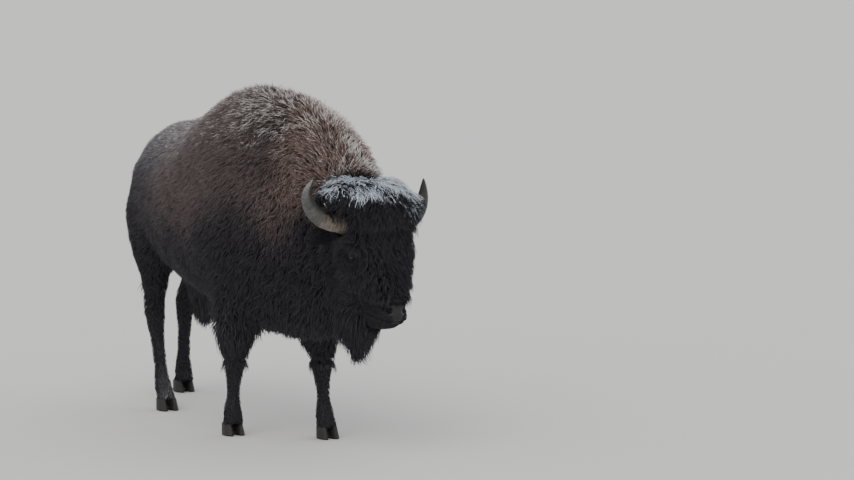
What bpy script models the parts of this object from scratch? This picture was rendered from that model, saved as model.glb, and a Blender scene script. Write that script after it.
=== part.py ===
"""A life-size bull bison in winter coat, standing in mid-stride with its head carried low.

Metres, +Z up, +X towards the head, +Y towards the animal's left. The flesh is shaped as one body out to
the tips of the coat, from stacks of ovals that are fused and smoothed, and is then parted into its
named pieces by thin cuts. Eyes, horns, ears, tail and hooves are pieces of their own.
"""

import math
from dataclasses import astuple, dataclass

import bmesh
import bpy
from mathutils import Matrix, Vector

# ---------------------------------------------------------------- driving sizes
GAP = 0.0004  # air left between touching pieces
SOCKET = 0.0012  # air left around a piece that is set into the body
RING_POINTS = 40  # corners of each oval of the body
FUSE_CELL = 0.016  # cell of the remesh that fuses the stacks
BODY_TRIANGLES = 3250  # budget of the fused body
BEYOND = 2.2  # further than the model reaches, for cuts that are open on a side

NECK_SWAY = 0.19  # how far left the neck carries the head
NECK_BEND_FROM = 0.45
NECK_BEND_TO = 1.22
HEAD_PIVOT = Vector((1.275, 0.205, 1.205))  # middle of the line between the horn bases
HEAD_YAW = math.radians(10)
HEAD_ROLL = math.radians(3.5)  # its left side carried a little lower

EYE_PLACE = Vector((0.078, 0.150, -0.180))  # forward, sideways and up from the pivot
EYE_RADIUS = 0.021
SOCKET_OUT = 0.052  # how far outside the eye the middle of its hollow lies
SOCKET_RADII = (0.048, 0.052, 0.038)
TEMPLE_PLACE = Vector((0.035, 0.215, -0.018))  # the hollow round a horn's base
TEMPLE_RADII = (0.080, 0.082, 0.062)

HOOF_HEIGHT = 0.064
HOOF_CORNERS = 10
HOOF_APART = 0.0305  # from the middle of a foot to the middle of either half hoof
TOE_REACH, HEEL_REACH = 0.064, 0.050
OUTER_WIDTH, INNER_WIDTH = 0.029, 0.026
TOE_NARROWING = 0.30


@dataclass
class Oval:
    """One slice of a stack: its place along the stack, the two ends of its section, its half width,
    where along the section it is widest, and how pinched the high and the low end are (1 is an
    ellipse, more is sharper, less is boxier)."""

    at: float
    low: float
    high: float
    half: float
    widest: float
    crest: float = 1.0
    keel: float = 1.0


# Rump to nape, by distance along the body; the section runs up and down.
TRUNK = [
    Oval(-1.035, 1.02, 1.23, 0.070, 1.13),
    Oval(-1.00, 0.88, 1.335, 0.150, 1.14),
    Oval(-0.91, 0.79, 1.435, 0.220, 1.13),
    Oval(-0.76, 0.75, 1.525, 0.275, 1.12, 1.1, 0.9),
    Oval(-0.56, 0.74, 1.570, 0.305, 1.12, 1.2, 0.9),
    Oval(-0.33, 0.705, 1.615, 0.335, 1.10, 1.25, 0.9),
    Oval(-0.08, 0.665, 1.712, 0.365, 1.09, 1.3, 0.9),
    Oval(0.16, 0.630, 1.798, 0.385, 1.08, 1.35, 0.95),
    Oval(0.36, 0.595, 1.832, 0.395, 1.06, 1.35, 1.0),
    Oval(0.52, 0.570, 1.840, 0.395, 1.05, 1.3, 1.0),
    Oval(0.68, 0.550, 1.822, 0.392, 1.05, 1.2, 1.05),
    Oval(0.84, 0.545, 1.770, 0.375, 1.06, 1.1, 1.1),
    Oval(0.98, 0.570, 1.645, 0.325, 1.08, 1.05, 1.15),
    Oval(1.10, 0.640, 1.470, 0.250, 1.10, 1.05, 1.15),
    Oval(1.18, 0.780, 1.320, 0.175, 1.10),
    Oval(1.23, 0.900, 1.220, 0.095, 1.10),
]

# The hair that hangs from the middle of the belly, by height; the section runs back to front.
BELLY_TUFT = [
    Oval(0.80, -0.66, -0.10, 0.120, -0.35),
    Oval(0.70, -0.64, -0.16, 0.090, -0.38),
    Oval(0.62, -0.58, -0.22, 0.062, -0.40),
    Oval(0.56, -0.52, -0.28, 0.040, -0.40),
    Oval(0.525, -0.44, -0.34, 0.018, -0.39),
]

# The hair mop on the crown, by height over the horn line; the section runs from nape to face.
CROWN = [
    Oval(0.232, -0.09, 0.03, 0.080, -0.03),
    Oval(0.210, -0.16, 0.09, 0.190, -0.03),
    Oval(0.170, -0.21, 0.145, 0.268, -0.03),
    Oval(0.115, -0.23, 0.180, 0.312, -0.03),
    Oval(0.065, -0.22, 0.200, 0.300, -0.02),
    Oval(0.020, -0.20, 0.205, 0.240, 0.0),
    Oval(-0.04, -0.17, 0.190, 0.190, 0.0),
]

# Crown to chin, the same way.
HEAD = [
    Oval(0.120, -0.15, 0.14, 0.180, 0.0),
    Oval(0.040, -0.19, 0.195, 0.210, 0.0, 0.8),
    Oval(-0.03, -0.19, 0.220, 0.215, 0.02, 0.75),
    Oval(-0.10, -0.185, 0.230, 0.208, 0.04, 0.75),
    Oval(-0.18, -0.18, 0.238, 0.200, 0.05, 0.75),
    Oval(-0.25, -0.17, 0.248, 0.185, 0.06, 0.75),
    Oval(-0.31, -0.14, 0.266, 0.166, 0.07, 0.75),
    Oval(-0.345, -0.11, 0.260, 0.138, 0.08, 0.75),
    Oval(-0.375, -0.08, 0.262, 0.112, 0.11, 0.7),
    Oval(-0.42, -0.04, 0.290, 0.098, 0.15, 0.65),
    Oval(-0.46, -0.01, 0.298, 0.096, 0.18, 0.6),
    Oval(-0.495, 0.02, 0.284, 0.090, 0.17, 0.65),
    Oval(-0.525, 0.05, 0.245, 0.074, 0.15, 0.8),
    Oval(-0.545, 0.08, 0.190, 0.040, 0.13),
]

# Throat to tip, the same way.
BEARD = [
    Oval(-0.28, -0.20, 0.10, 0.130, -0.05),
    Oval(-0.40, -0.225, 0.11, 0.125, -0.06),
    Oval(-0.50, -0.235, 0.10, 0.110, -0.07),
    Oval(-0.57, -0.22, 0.06, 0.088, -0.07),
    Oval(-0.625, -0.16, 0.025, 0.060, -0.06),
    Oval(-0.665, -0.09, 0.0, 0.035, -0.04),
    Oval(-0.690, -0.05, -0.02, 0.014, -0.035),
]

# Shoulder to hoof, by height; the section runs back to front from the leg's own line.
FORELEG = [
    Oval(1.02, -0.20, 0.18, 0.140, 0.0),
    Oval(0.88, -0.19, 0.17, 0.150, 0.0),
    Oval(0.74, -0.165, 0.155, 0.145, 0.0),
    Oval(0.62, -0.145, 0.140, 0.130, 0.0),
    Oval(0.53, -0.125, 0.120, 0.112, 0.0),
    Oval(0.46, -0.100, 0.092, 0.086, 0.0),
    Oval(0.41, -0.065, 0.070, 0.062, 0.0),
    Oval(0.35, -0.056, 0.062, 0.054, 0.0),
    Oval(0.29, -0.050, 0.046, 0.044, 0.0),
    Oval(0.20, -0.048, 0.040, 0.040, 0.0),
    Oval(0.145, -0.060, 0.048, 0.052, 0.0),
    Oval(0.10, -0.052, 0.060, 0.054, 0.01),
    Oval(0.065, -0.050, 0.074, 0.060, 0.015),
    Oval(0.03, -0.044, 0.070, 0.056, 0.015),
]
FORELEG_X = 0.55
FORELEG_Y = 0.20
KNEE = 0.42

HINDLEG = [
    Oval(1.24, -0.16, 0.22, 0.065, 0.0),
    Oval(1.08, -0.215, 0.27, 0.100, 0.0),
    Oval(0.94, -0.225, 0.24, 0.106, 0.0),
    Oval(0.84, -0.220, 0.18, 0.098, 0.0),
    Oval(0.76, -0.205, 0.11, 0.080, -0.02),
    Oval(0.69, -0.190, 0.055, 0.067, -0.04),
    Oval(0.62, -0.190, 0.010, 0.057, -0.08),
    Oval(0.57, -0.205, -0.025, 0.054, -0.12),
    Oval(0.51, -0.215, -0.055, 0.053, -0.14),
    Oval(0.45, -0.205, -0.075, 0.050, -0.14),
    Oval(0.36, -0.178, -0.086, 0.043, -0.13),
    Oval(0.22, -0.168, -0.080, 0.040, -0.12),
    Oval(0.15, -0.176, -0.068, 0.050, -0.12),
    Oval(0.10, -0.162, -0.052, 0.052, -0.10),
    Oval(0.065, -0.155, -0.032, 0.058, -0.09),
    Oval(0.03, -0.150, -0.038, 0.054, -0.09),
]
HINDLEG_X = -0.75
HINDLEG_Y = 0.175
HOCK = 0.54


@dataclass
class Leg:
    """A leg's stack, where its line stands, and how far the stride carries its joint and its hoof."""

    ovals: list
    x: float
    y: float
    joint: float
    joint_swing: float
    hoof_swing: float
    hoof_at: float


LEGS = {
    "right_fore": Leg(FORELEG, FORELEG_X, -FORELEG_Y, KNEE, -0.09, -0.13, 0.015),
    "left_fore": Leg(FORELEG, FORELEG_X, FORELEG_Y, KNEE, 0.12, 0.19, 0.015),
    "right_hind": Leg(HINDLEG, HINDLEG_X, -HINDLEG_Y, HOCK, 0.20, 0.33, -0.09),
    "left_hind": Leg(HINDLEG, HINDLEG_X, HINDLEG_Y, HOCK, -0.18, -0.26, -0.09),
}
STRIDE_FROM = 1.0  # height at which the stride starts to move a leg


@dataclass
class Bead:
    """A point of a bent round piece, in forward, sideways and up, and its radius there."""

    forward: float
    side: float
    up: float
    radius: float


HORN = [
    Bead(0.004, 0.085, -0.020, 0.049),
    Bead(0.000, 0.145, -0.020, 0.050),
    Bead(-0.010, 0.205, -0.012, 0.050),
    Bead(-0.028, 0.276, 0.006, 0.048),
    Bead(-0.043, 0.328, 0.044, 0.043),
    Bead(-0.052, 0.357, 0.090, 0.034),
    Bead(-0.055, 0.366, 0.130, 0.026),
    Bead(-0.046, 0.360, 0.172, 0.016),
    Bead(-0.031, 0.346, 0.212, 0.004),
]
EAR = [
    Bead(-0.085, 0.120, -0.060, 0.020),
    Bead(-0.098, 0.160, -0.068, 0.036),
    Bead(-0.112, 0.205, -0.080, 0.047),
    Bead(-0.126, 0.245, -0.096, 0.040),
    Bead(-0.137, 0.280, -0.112, 0.020),
    Bead(-0.142, 0.294, -0.120, 0.005),
]
EAR_THIN = 0.5  # its depth from front to back for its height
TAIL = [
    Bead(-0.93, 0.0, 1.290, 0.030),
    Bead(-1.02, 0.0, 1.275, 0.036),
    Bead(-1.075, 0.0, 1.215, 0.034),
    Bead(-1.095, 0.0, 1.120, 0.029),
    Bead(-1.098, -0.004, 1.010, 0.026),
    Bead(-1.096, -0.008, 0.900, 0.025),
]
TAIL_TUFT = [
    Bead(-1.096, -0.009, 0.890, 0.022),
    Bead(-1.096, -0.010, 0.860, 0.034),
    Bead(-1.092, -0.012, 0.790, 0.046),
    Bead(-1.088, -0.012, 0.710, 0.042),
    Bead(-1.084, -0.010, 0.640, 0.022),
    Bead(-1.082, -0.010, 0.610, 0.006),
]


# ---------------------------------------------------------------- building blocks
def between(a, b, c, d, t):
    """Catmull-Rom value between b and c."""
    return 0.5 * (2 * b + (c - a) * t + (2 * a - 5 * b + 4 * c - d) * t * t + (3 * b - a - 3 * c + d) * t**3)


def refined(slices, steps):
    """The same list with a smooth run of slices between each two."""
    kind = type(slices[0])
    rows = [astuple(one) for one in slices]
    rows = [rows[0], *rows, rows[-1]]
    made = []
    for a, b, c, d in zip(rows, rows[1:], rows[2:], rows[3:]):
        made += [kind(*(between(*v, step / steps) for v in zip(a, b, c, d))) for step in range(steps)]
    return [*made, slices[-1]]


def solid(name, rings):
    """A closed tube through rings of points, capped at both ends."""
    mesh = bmesh.new()
    rows = [[mesh.verts.new(point) for point in ring] for ring in rings]
    count = len(rows[0])
    for lower, upper in zip(rows, rows[1:]):
        for i in range(count):
            j = (i + 1) % count
            mesh.faces.new((lower[i], lower[j], upper[j], upper[i]))
    mesh.faces.new(rows[0])
    mesh.faces.new(rows[-1])
    bmesh.ops.recalc_face_normals(mesh, faces=mesh.faces)
    data = bpy.data.meshes.new(name)
    mesh.to_mesh(data)
    mesh.free()
    body = bpy.data.objects.new(name, data)
    bpy.context.scene.collection.objects.link(body)
    return body


def stack(name, ovals, place, steps=4, points=RING_POINTS):
    """A closed tube through a stack of ovals. place turns (along the stack, sideways, along the
    section) into a point."""
    rings = []
    for oval in refined(ovals, steps):
        ring = []
        for corner in range(points):
            turn = 2 * math.pi * corner / points
            rise, side = math.cos(turn), math.sin(turn)
            reach = oval.high - oval.widest if rise > 0 else oval.widest - oval.low
            pinch = oval.crest if rise > 0 else oval.keel
            sideways = oval.half * math.copysign(abs(side) ** pinch, side)
            ring.append(place(oval.at, sideways, oval.widest + rise * reach))
        rings.append(ring)
    return solid(name, rings)


def bent(name, beads, place, side=1, points=8, thin=1.0, steps=2):
    """A tube along a run of beads; thin squashes it from front to back."""
    beads = refined(beads, steps)
    spine = [Vector((bead.forward, side * bead.side, bead.up)) for bead in beads]
    rings = []
    for index, bead in enumerate(beads):
        before, after = spine[max(0, index - 1)], spine[min(len(spine) - 1, index + 1)]
        along = (after - before).normalized()
        across = along.cross(Vector((1, 0, 0))).normalized()
        around = along.cross(across)
        ring = []
        for corner in range(points):
            turn = 2 * math.pi * corner / points
            reach = across * math.cos(turn) + around * math.sin(turn) * thin
            ring.append(place @ (spine[index] + reach * bead.radius))
        rings.append(ring)
    return solid(name, rings)


def eased(value, low, high):
    t = min(1.0, max(0.0, (value - low) / (high - low)))
    return t * t * (3 - 2 * t)


HEAD_TURN = Matrix.Rotation(HEAD_YAW, 4, "Z") @ Matrix.Rotation(-HEAD_ROLL, 4, "X")
HEAD_FRAME = Matrix.Translation(HEAD_PIVOT) @ HEAD_TURN


def trunk_place(at, sideways, height):
    return Vector((at, sideways + NECK_SWAY * eased(at, NECK_BEND_FROM, NECK_BEND_TO), height))


def head_place(at, sideways, forward):
    return HEAD_FRAME @ Vector((forward, sideways, at))


def upright_place(at, sideways, forward):
    return Vector((forward, sideways, at))


def leg_place(leg):
    def place(at, sideways, forward):
        upper = min(1.0, max(0.0, (STRIDE_FROM - at) / (STRIDE_FROM - leg.joint)))
        lower = min(1.0, max(0.0, (leg.joint - at) / leg.joint))
        swing = leg.joint_swing * upper + (leg.hoof_swing - leg.joint_swing) * lower
        return Vector((leg.x + forward + swing, leg.y + sideways, at))

    return place


def changed(body, kind, **settings):
    """Apply one modifier to a body."""
    step = body.modifiers.new("step", kind)
    for key, value in settings.items():
        setattr(step, key, value)
    bpy.context.view_layer.objects.active = body
    bpy.ops.object.modifier_apply(modifier=step.name)
    return body


def combined(body, other, operation):
    """Boolean of a body with another one, which is used up."""
    changed(body, "BOOLEAN", operation=operation, solver="EXACT", object=other)
    bpy.data.objects.remove(other)
    return body


def twin(body, name):
    made = bpy.data.objects.new(name, body.data.copy())
    bpy.context.scene.collection.objects.link(made)
    return made


def swollen(body, amount):
    """A copy of a body with its skin moved outwards."""
    made = twin(body, f"{body.name}_socket")
    for vertex, normal in [(v, v.normal.copy()) for v in made.data.vertices]:
        vertex.co += normal * amount
    return made


def fused(name, bodies):
    """One smooth closed body out of overlapping ones."""
    bpy.ops.object.select_all(action="DESELECT")
    for body in bodies:
        body.select_set(True)
    bpy.context.view_layer.objects.active = bodies[0]
    bpy.ops.object.join()
    body = bodies[0]
    body.name = name
    changed(body, "REMESH", mode="VOXEL", voxel_size=FUSE_CELL)
    return body


def pit(centre, radii):
    """An egg-shaped hollow to be taken out of the head, on either side."""
    bpy.ops.mesh.primitive_uv_sphere_add(segments=20, ring_count=12, radius=1.0)
    body = bpy.context.object
    body.data.transform(HEAD_FRAME @ Matrix.Translation(centre) @ Matrix.Diagonal((*radii, 1.0)))
    return body


def block(back, front, foot, top):
    """Corners of an upright rectangle, for a prism."""
    return [(back, foot), (front, foot), (front, top), (back, top)]


def prism(name, frame, corners, near, far, grow=0.0):
    """A slab with the given outline in the frame's first and third directions, from near to far along
    its second one. grow moves every face outwards."""
    centre = Vector((sum(x for x, _ in corners), sum(z for _, z in corners))) / len(corners)
    edges = []
    for (x0, z0), (x1, z1) in zip(corners, corners[1:] + corners[:1]):
        start, run = Vector((x0, z0)), Vector((x1 - x0, z1 - z0))
        normal = Vector((run.y, -run.x)).normalized()
        if normal.dot(start - centre) < 0:
            normal = -normal
        edges.append((start + normal * grow, run.normalized()))
    outline = []
    for (p, u), (q, w) in zip(edges[-1:] + edges[:-1], edges):
        t = ((q.x - p.x) * w.y - (q.y - p.y) * w.x) / (u.x * w.y - u.y * w.x)
        outline.append(p + u * t)
    rings = [[frame @ Vector((c.x, depth, c.y)) for c in outline] for depth in (near - grow, far + grow)]
    return solid(name, rings)


def parted(body, name, frame, corners, near=-BEYOND, far=BEYOND):
    """Take the part of a body inside a prism away as a piece of its own, leaving the gap between."""
    piece = twin(body, name)
    combined(piece, prism("cut", frame, corners, near, far), "INTERSECT")
    combined(body, prism("cut", frame, corners, near, far, GAP), "DIFFERENCE")
    return piece


HOOF_RINGS = [  # height, size of the outline and how far back it leans
    (0.0, 0.93, 0.0),
    (0.006, 1.0, 0.0),
    (0.034, 0.90, 0.008),
    (HOOF_HEIGHT, 0.80, 0.017),
]


def half_hoof(name, x, y, side):
    """Half of a cloven hoof with a flat sole; side is the way that its outer wall faces."""
    rings = []
    for height, size, back in HOOF_RINGS:
        ring = []
        for corner in range(HOOF_CORNERS):
            turn = 2 * math.pi * corner / HOOF_CORNERS
            ahead, across = math.cos(turn), math.sin(turn)
            narrow = 1.0 - TOE_NARROWING * max(0.0, ahead) ** 2
            reach = TOE_REACH if ahead > 0 else HEEL_REACH
            width = OUTER_WIDTH if across * side > 0 else INNER_WIDTH
            forward, sideways = ahead * reach * size - back, across * width * narrow * size
            ring.append(Vector((x + forward, y + sideways, height)))
        rings.append(ring)
    return solid(name, rings)


def coloured(body, colour, roughness=0.9):
    material = bpy.data.materials.new(body.name)
    material.use_nodes = True
    shader = material.node_tree.nodes["Principled BSDF"]
    shader.inputs["Base Color"].default_value = (*colour, 1.0)
    shader.inputs["Roughness"].default_value = roughness
    body.data.materials.clear()
    body.data.materials.append(material)


def stand_on_origin():
    """Move every piece so that the origin lies on the floor under the middle of the whole model's box."""
    corners = [vertex.co for piece in bpy.data.objects for vertex in piece.data.vertices]
    middle = [(min(c[axis] for c in corners) + max(c[axis] for c in corners)) / 2 for axis in (0, 1)]
    for piece in bpy.data.objects:
        piece.data.transform(Matrix.Translation((-middle[0], -middle[1], 0.0)))


# ---------------------------------------------------------------- the bison
WORLD = Matrix.Identity(4)
SIDES = {"left": 1, "right": -1}
BROWN = (0.060, 0.044, 0.040)
CAPE = (0.085, 0.056, 0.046)
DARK = (0.016, 0.014, 0.015)
HORN_GREY = (0.090, 0.082, 0.074)
HOOF_BLACK = (0.020, 0.018, 0.017)

# Cuts through the head, forward and up from its pivot.
NAPE_CUT = -0.150
CROWN_CUT = 0.052
BEARD_CUT = [(-1.0, -0.33), (0.045, -0.535), (0.045, -BEYOND), (-1.0, -BEYOND)]
MUZZLE_CUT = [(-0.2, -0.345), (1.0, -0.375), (1.0, -BEYOND), (-0.2, -BEYOND)]

# Cuts through the body, along it and up.
NECK_CUT = [(0.80, BEYOND), (0.99, 0.2), (BEYOND, 0.2), (BEYOND, BEYOND)]
HUMP_CUT = [(-0.02, BEYOND), (0.04, 1.42), (1.2, 1.42), (1.2, BEYOND)]
SHOULDER_CUT = 0.04
RUMP_CUT = -0.48
BELLY_CUT = block(-0.70, -0.05, 0.3, 0.655)
BELLY_HALF_WIDTH = 0.14
LEG_INSIDE, LEG_OUTSIDE = 0.06, 0.6
LEG_UNDER = -0.1
LEG_BEHIND, LEG_AHEAD = 0.55, 0.34
FORELEG_TOP, FORELEG_HALF = 0.58, 0.16
HINDLEG_TOP = [(-1.12, 0.90), (-0.56, 0.76)]
JOINT_DROP = 0.02  # the cut lies this far under a knee or hock


def flesh():
    """The whole body out to the coat's tips, before it is parted."""
    body = fused(
        "barrel",
        [
            stack("trunk", TRUNK, trunk_place),
            stack("belly", BELLY_TUFT, upright_place),
            stack("crown", CROWN, head_place),
            stack("face", HEAD, head_place),
            stack("beard", BEARD, head_place),
            *(stack(name, leg.ovals, leg_place(leg)) for name, leg in LEGS.items()),
        ],
    )
    for side in SIDES.values():
        temple = Vector((TEMPLE_PLACE.x, side * TEMPLE_PLACE.y, TEMPLE_PLACE.z))
        socket = Vector((EYE_PLACE.x, side * (EYE_PLACE.y + SOCKET_OUT), EYE_PLACE.z))
        combined(body, pit(temple, TEMPLE_RADII), "DIFFERENCE")
        combined(body, pit(socket, SOCKET_RADII), "DIFFERENCE")
    changed(body, "REMESH", mode="VOXEL", voxel_size=FUSE_CELL)
    changed(body, "SMOOTH", factor=0.5, iterations=5)
    triangles = sum(len(face.vertices) - 2 for face in body.data.polygons)
    changed(body, "DECIMATE", ratio=BODY_TRIANGLES / triangles)
    return body


def eyeball(word, side):
    bpy.ops.mesh.primitive_ico_sphere_add(subdivisions=2, radius=EYE_RADIUS)
    eye = bpy.context.object
    eye.name = f"{word}_eye"
    place = Vector((EYE_PLACE.x, side * EYE_PLACE.y, EYE_PLACE.z))
    eye.data.transform(HEAD_FRAME @ Matrix.Translation(place))
    return eye


def set_in(body):
    """Horns, ears, eyes and tail, each in a socket of its own in the body."""
    pieces = []
    for word, side in SIDES.items():
        pieces.append(bent(f"{word}_horn", HORN, HEAD_FRAME, side, points=11))
        pieces.append(bent(f"{word}_ear", EAR, HEAD_FRAME, side, thin=EAR_THIN))
        pieces.append(eyeball(word, side))
    pieces.append(bent("tail", TAIL, WORLD))
    for piece in pieces:
        combined(body, swollen(piece, SOCKET), "DIFFERENCE")
    bent("tail_tuft", TAIL_TUFT, WORLD, points=10)


def hooves(body):
    """Everything under the coronets belongs to the hooves, two halves to a foot."""
    under = block(-BEYOND, BEYOND, -BEYOND, HOOF_HEIGHT + GAP)
    combined(body, prism("cut", WORLD, under, -BEYOND, BEYOND), "DIFFERENCE")
    for name, leg in LEGS.items():
        x = leg.x + leg.hoof_at + leg.hoof_swing
        outward = 1 if leg.y > 0 else -1
        for word, side in (("outer", outward), ("inner", -outward)):
            half_hoof(f"{name}_{word}_hoof", x, leg.y + side * HOOF_APART, side)


def part_head(body):
    """Head, crown hair, beard and muzzle, cut in the head's own directions."""
    head = parted(body, "head", HEAD_FRAME, block(NAPE_CUT, 1.0, -1.0, 1.0), -1.0, 1.0)
    parted(head, "crown_hair", HEAD_FRAME, block(-1.0, 1.0, CROWN_CUT, 1.0), -1.0, 1.0)
    parted(head, "beard", HEAD_FRAME, BEARD_CUT, -1.0, 1.0)
    parted(head, "muzzle", HEAD_FRAME, MUZZLE_CUT, -1.0, 1.0)


def part_legs(body):
    """Upper and lower legs, each taken from its own side of the body."""
    for name, leg in LEGS.items():
        inside, outside = (LEG_INSIDE, LEG_OUTSIDE) if leg.y > 0 else (-LEG_OUTSIDE, -LEG_INSIDE)
        line = leg.x + leg.joint_swing
        top = HINDLEG_TOP
        if "fore" in name:
            top = [(line - FORELEG_HALF, FORELEG_TOP), (line + FORELEG_HALF, FORELEG_TOP)]
        foot = [(line + LEG_AHEAD, LEG_UNDER), (line - LEG_BEHIND, LEG_UNDER)]
        upper = parted(body, f"{name}_upper_leg", WORLD, [*top, *foot], inside, outside)
        shank = block(-BEYOND, BEYOND, -BEYOND, leg.joint - JOINT_DROP)
        parted(upper, f"{name}_lower_leg", WORLD, shank)


def main():
    for old in list(bpy.data.objects):
        bpy.data.objects.remove(old)
    body = flesh()
    set_in(body)
    hooves(body)
    part_head(body)
    part_legs(body)
    parted(body, "belly_hair", WORLD, BELLY_CUT, -BELLY_HALF_WIDTH, BELLY_HALF_WIDTH)
    neck = parted(body, "neck", WORLD, NECK_CUT)
    hump = parted(body, "hump", WORLD, HUMP_CUT)
    shoulders = parted(body, "shoulders", WORLD, block(SHOULDER_CUT, BEYOND, 0.2, BEYOND))
    rump = parted(body, "hindquarters", WORLD, block(-BEYOND, RUMP_CUT, -0.2, BEYOND))

    for piece in bpy.data.objects:
        coloured(piece, DARK)
    for piece in (neck, hump, shoulders):
        coloured(piece, CAPE)
    for piece in (rump, body):
        coloured(piece, BROWN)
    for piece in bpy.data.objects:
        if piece.name.endswith("_hoof"):
            coloured(piece, HOOF_BLACK, 0.5)
        elif piece.name.endswith("_horn"):
            coloured(piece, HORN_GREY, 0.5)
        elif piece.name.endswith("_eye"):
            coloured(piece, HOOF_BLACK, 0.1)
    stand_on_origin()


if __name__ == "__main__":
    main()
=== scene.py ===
"""Looks of the bull bison: one hide inside the coat, the coat itself in locks that follow its lie, and
horns, ears, eyes, lids, lashes, hooves and dewclaws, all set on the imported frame."""

import math
from contextlib import contextmanager
from dataclasses import dataclass

import bmesh
import bpy
import numpy as np
from mathutils import Matrix, Vector
from mathutils.bvhtree import BVHTree
from mathutils.kdtree import KDTree


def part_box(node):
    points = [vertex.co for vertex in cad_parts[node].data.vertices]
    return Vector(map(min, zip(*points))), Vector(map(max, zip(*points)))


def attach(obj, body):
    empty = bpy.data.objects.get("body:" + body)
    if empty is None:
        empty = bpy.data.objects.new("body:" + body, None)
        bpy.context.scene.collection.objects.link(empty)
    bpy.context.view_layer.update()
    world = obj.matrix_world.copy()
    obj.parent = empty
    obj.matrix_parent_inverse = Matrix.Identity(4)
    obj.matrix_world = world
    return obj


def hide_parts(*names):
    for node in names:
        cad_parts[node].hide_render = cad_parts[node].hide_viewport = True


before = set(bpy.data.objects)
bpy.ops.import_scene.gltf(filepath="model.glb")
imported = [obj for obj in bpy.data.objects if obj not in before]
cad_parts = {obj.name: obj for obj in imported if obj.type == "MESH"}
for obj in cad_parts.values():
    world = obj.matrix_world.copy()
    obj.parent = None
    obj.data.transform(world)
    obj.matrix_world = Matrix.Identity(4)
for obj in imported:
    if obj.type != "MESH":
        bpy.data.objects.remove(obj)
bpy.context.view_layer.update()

# ---------------------------------------------------------------- places read from the frame
SIDES = {"left": 1.0, "right": -1.0}
SEPARATE = ("_horn", "_hoof", "_eye", "_ear")
FLESH = [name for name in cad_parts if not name.endswith(SEPARATE)]
HOOVES = [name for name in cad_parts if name.endswith("_hoof")]


def middle(node):
    """Middle of a CAD node's box."""
    low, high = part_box(node)
    return (low + high) / 2


# The head's own directions follow from its two eyes, which sit this far ahead of and below its pivot.
EYE_AHEAD, EYE_BELOW, EYE_RADIUS = 0.078, 0.180, 0.021
eye_line = middle("left_eye") - middle("right_eye")
HEAD_SIDE = eye_line.normalized()
HEAD_AHEAD = Vector((HEAD_SIDE.y, -HEAD_SIDE.x, 0.0)).normalized()
HEAD_UP = HEAD_AHEAD.cross(HEAD_SIDE)
EYE_OUT = eye_line.length / 2
between_eyes = (middle("left_eye") + middle("right_eye")) / 2
HEAD_PIVOT = between_eyes - HEAD_AHEAD * EYE_AHEAD + HEAD_UP * EYE_BELOW
HEAD_TURN = Matrix((HEAD_AHEAD, HEAD_SIDE, HEAD_UP)).transposed().to_4x4()
HEAD_FRAME = Matrix.Translation(HEAD_PIVOT) @ HEAD_TURN
AHEAD, ASIDE, UPWARD = (np.array(axis) for axis in (HEAD_AHEAD, HEAD_SIDE, HEAD_UP))

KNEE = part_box("right_fore_lower_leg")[1].z
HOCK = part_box("right_hind_lower_leg")[1].z
HOOF_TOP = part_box("right_fore_inner_hoof")[1].z
HUMP_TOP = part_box("hump")[1].z
HUMP_X = middle("hump").x
RUMP_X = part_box("hindquarters")[0].x
FLANK_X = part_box("hindquarters")[1].x
TAIL_TUFT_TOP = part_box("tail_tuft")[1].z
MIDLINE = middle("tail").y
BETWEEN_LEGS = middle("barrel").x

HUMP_FOOT = 1.06  # above this height the cape's coat is shorter and denser
EYE_HALF_WIDTH, EYE_HALF_HEIGHT = 0.0185, 0.0125
NEVER = 9.0  # a reach from the eye that stands for anywhere else
SAME_PLACE = 0.00001  # corners closer than this are one
DOWN = np.array((0.0, 0.0, -1.0))
BACK = np.array((-1.0, 0.0, 0.0))


def tree_of(node):
    """The surface of a CAD node, to measure from."""
    mesh = bpy.data.objects[node].data
    mesh.calc_loop_triangles()
    corners = [tuple(triangle.vertices) for triangle in mesh.loop_triangles]
    return BVHTree.FromPolygons([vertex.co for vertex in mesh.vertices], corners)


MEASURED = [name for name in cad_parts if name.startswith("tail") or name.endswith(SEPARATE)]
SURFACES = {name: tree_of(name) for name in MEASURED}


def outside(points, node, reach):
    """How far points lie outside a CAD node, negative within it, and reach where they are further."""
    found = np.full(len(points), reach)
    low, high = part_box(node)
    near = np.all((points > np.array(low) - reach) & (points < np.array(high) + reach), axis=1)
    for row in np.flatnonzero(near):
        place, normal, _, away = SURFACES[node].find_nearest(points[row])
        found[row] = math.copysign(away, (Vector(points[row]) - place).dot(normal))
    return found


# ---------------------------------------------------------------- fields over the body
def eased(value, low, high):
    """0 at low, 1 at high and a smooth rise between; low above high runs the other way."""
    t = np.clip((value - low) / (high - low), 0.0, 1.0)
    return t * t * (3 - 2 * t)


def mixed(a, b, share):
    """a where share is 0, b where it is 1."""
    return a + (b - a) * share


def unit(vectors):
    return vectors / np.maximum(np.linalg.norm(vectors, axis=-1, keepdims=True), 1e-9)


def in_head(points):
    """Forward, sideways and up of points, in the head's own directions."""
    return ((points - np.array(HEAD_PIVOT)) @ np.array([AHEAD, ASIDE, UPWARD]).T).T


def bell(*terms):
    """1 where every value is at its middle, fading to 0; each term is a value, its middle and its width."""
    return np.exp(-sum(((value - centre) / width) ** 2 for value, centre, width in terms))


def spot(points, centre, radii):
    """1 at a place on both sides of the head, fading to 0 over an egg-shaped room."""
    ahead, side, up = in_head(points)
    return bell(*zip((ahead, np.abs(side), up), centre, radii))


def eye_reach(points, wide, high):
    """Distance from the middle of the nearer eye's opening, 1 at this half width and half height."""
    ahead, side, up = in_head(points)
    reach = np.hypot((ahead - EYE_AHEAD) / wide, (up + EYE_BELOW) / high)
    return np.where(np.abs(side) > EYE_OUT / 2, reach, NEVER)


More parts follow.
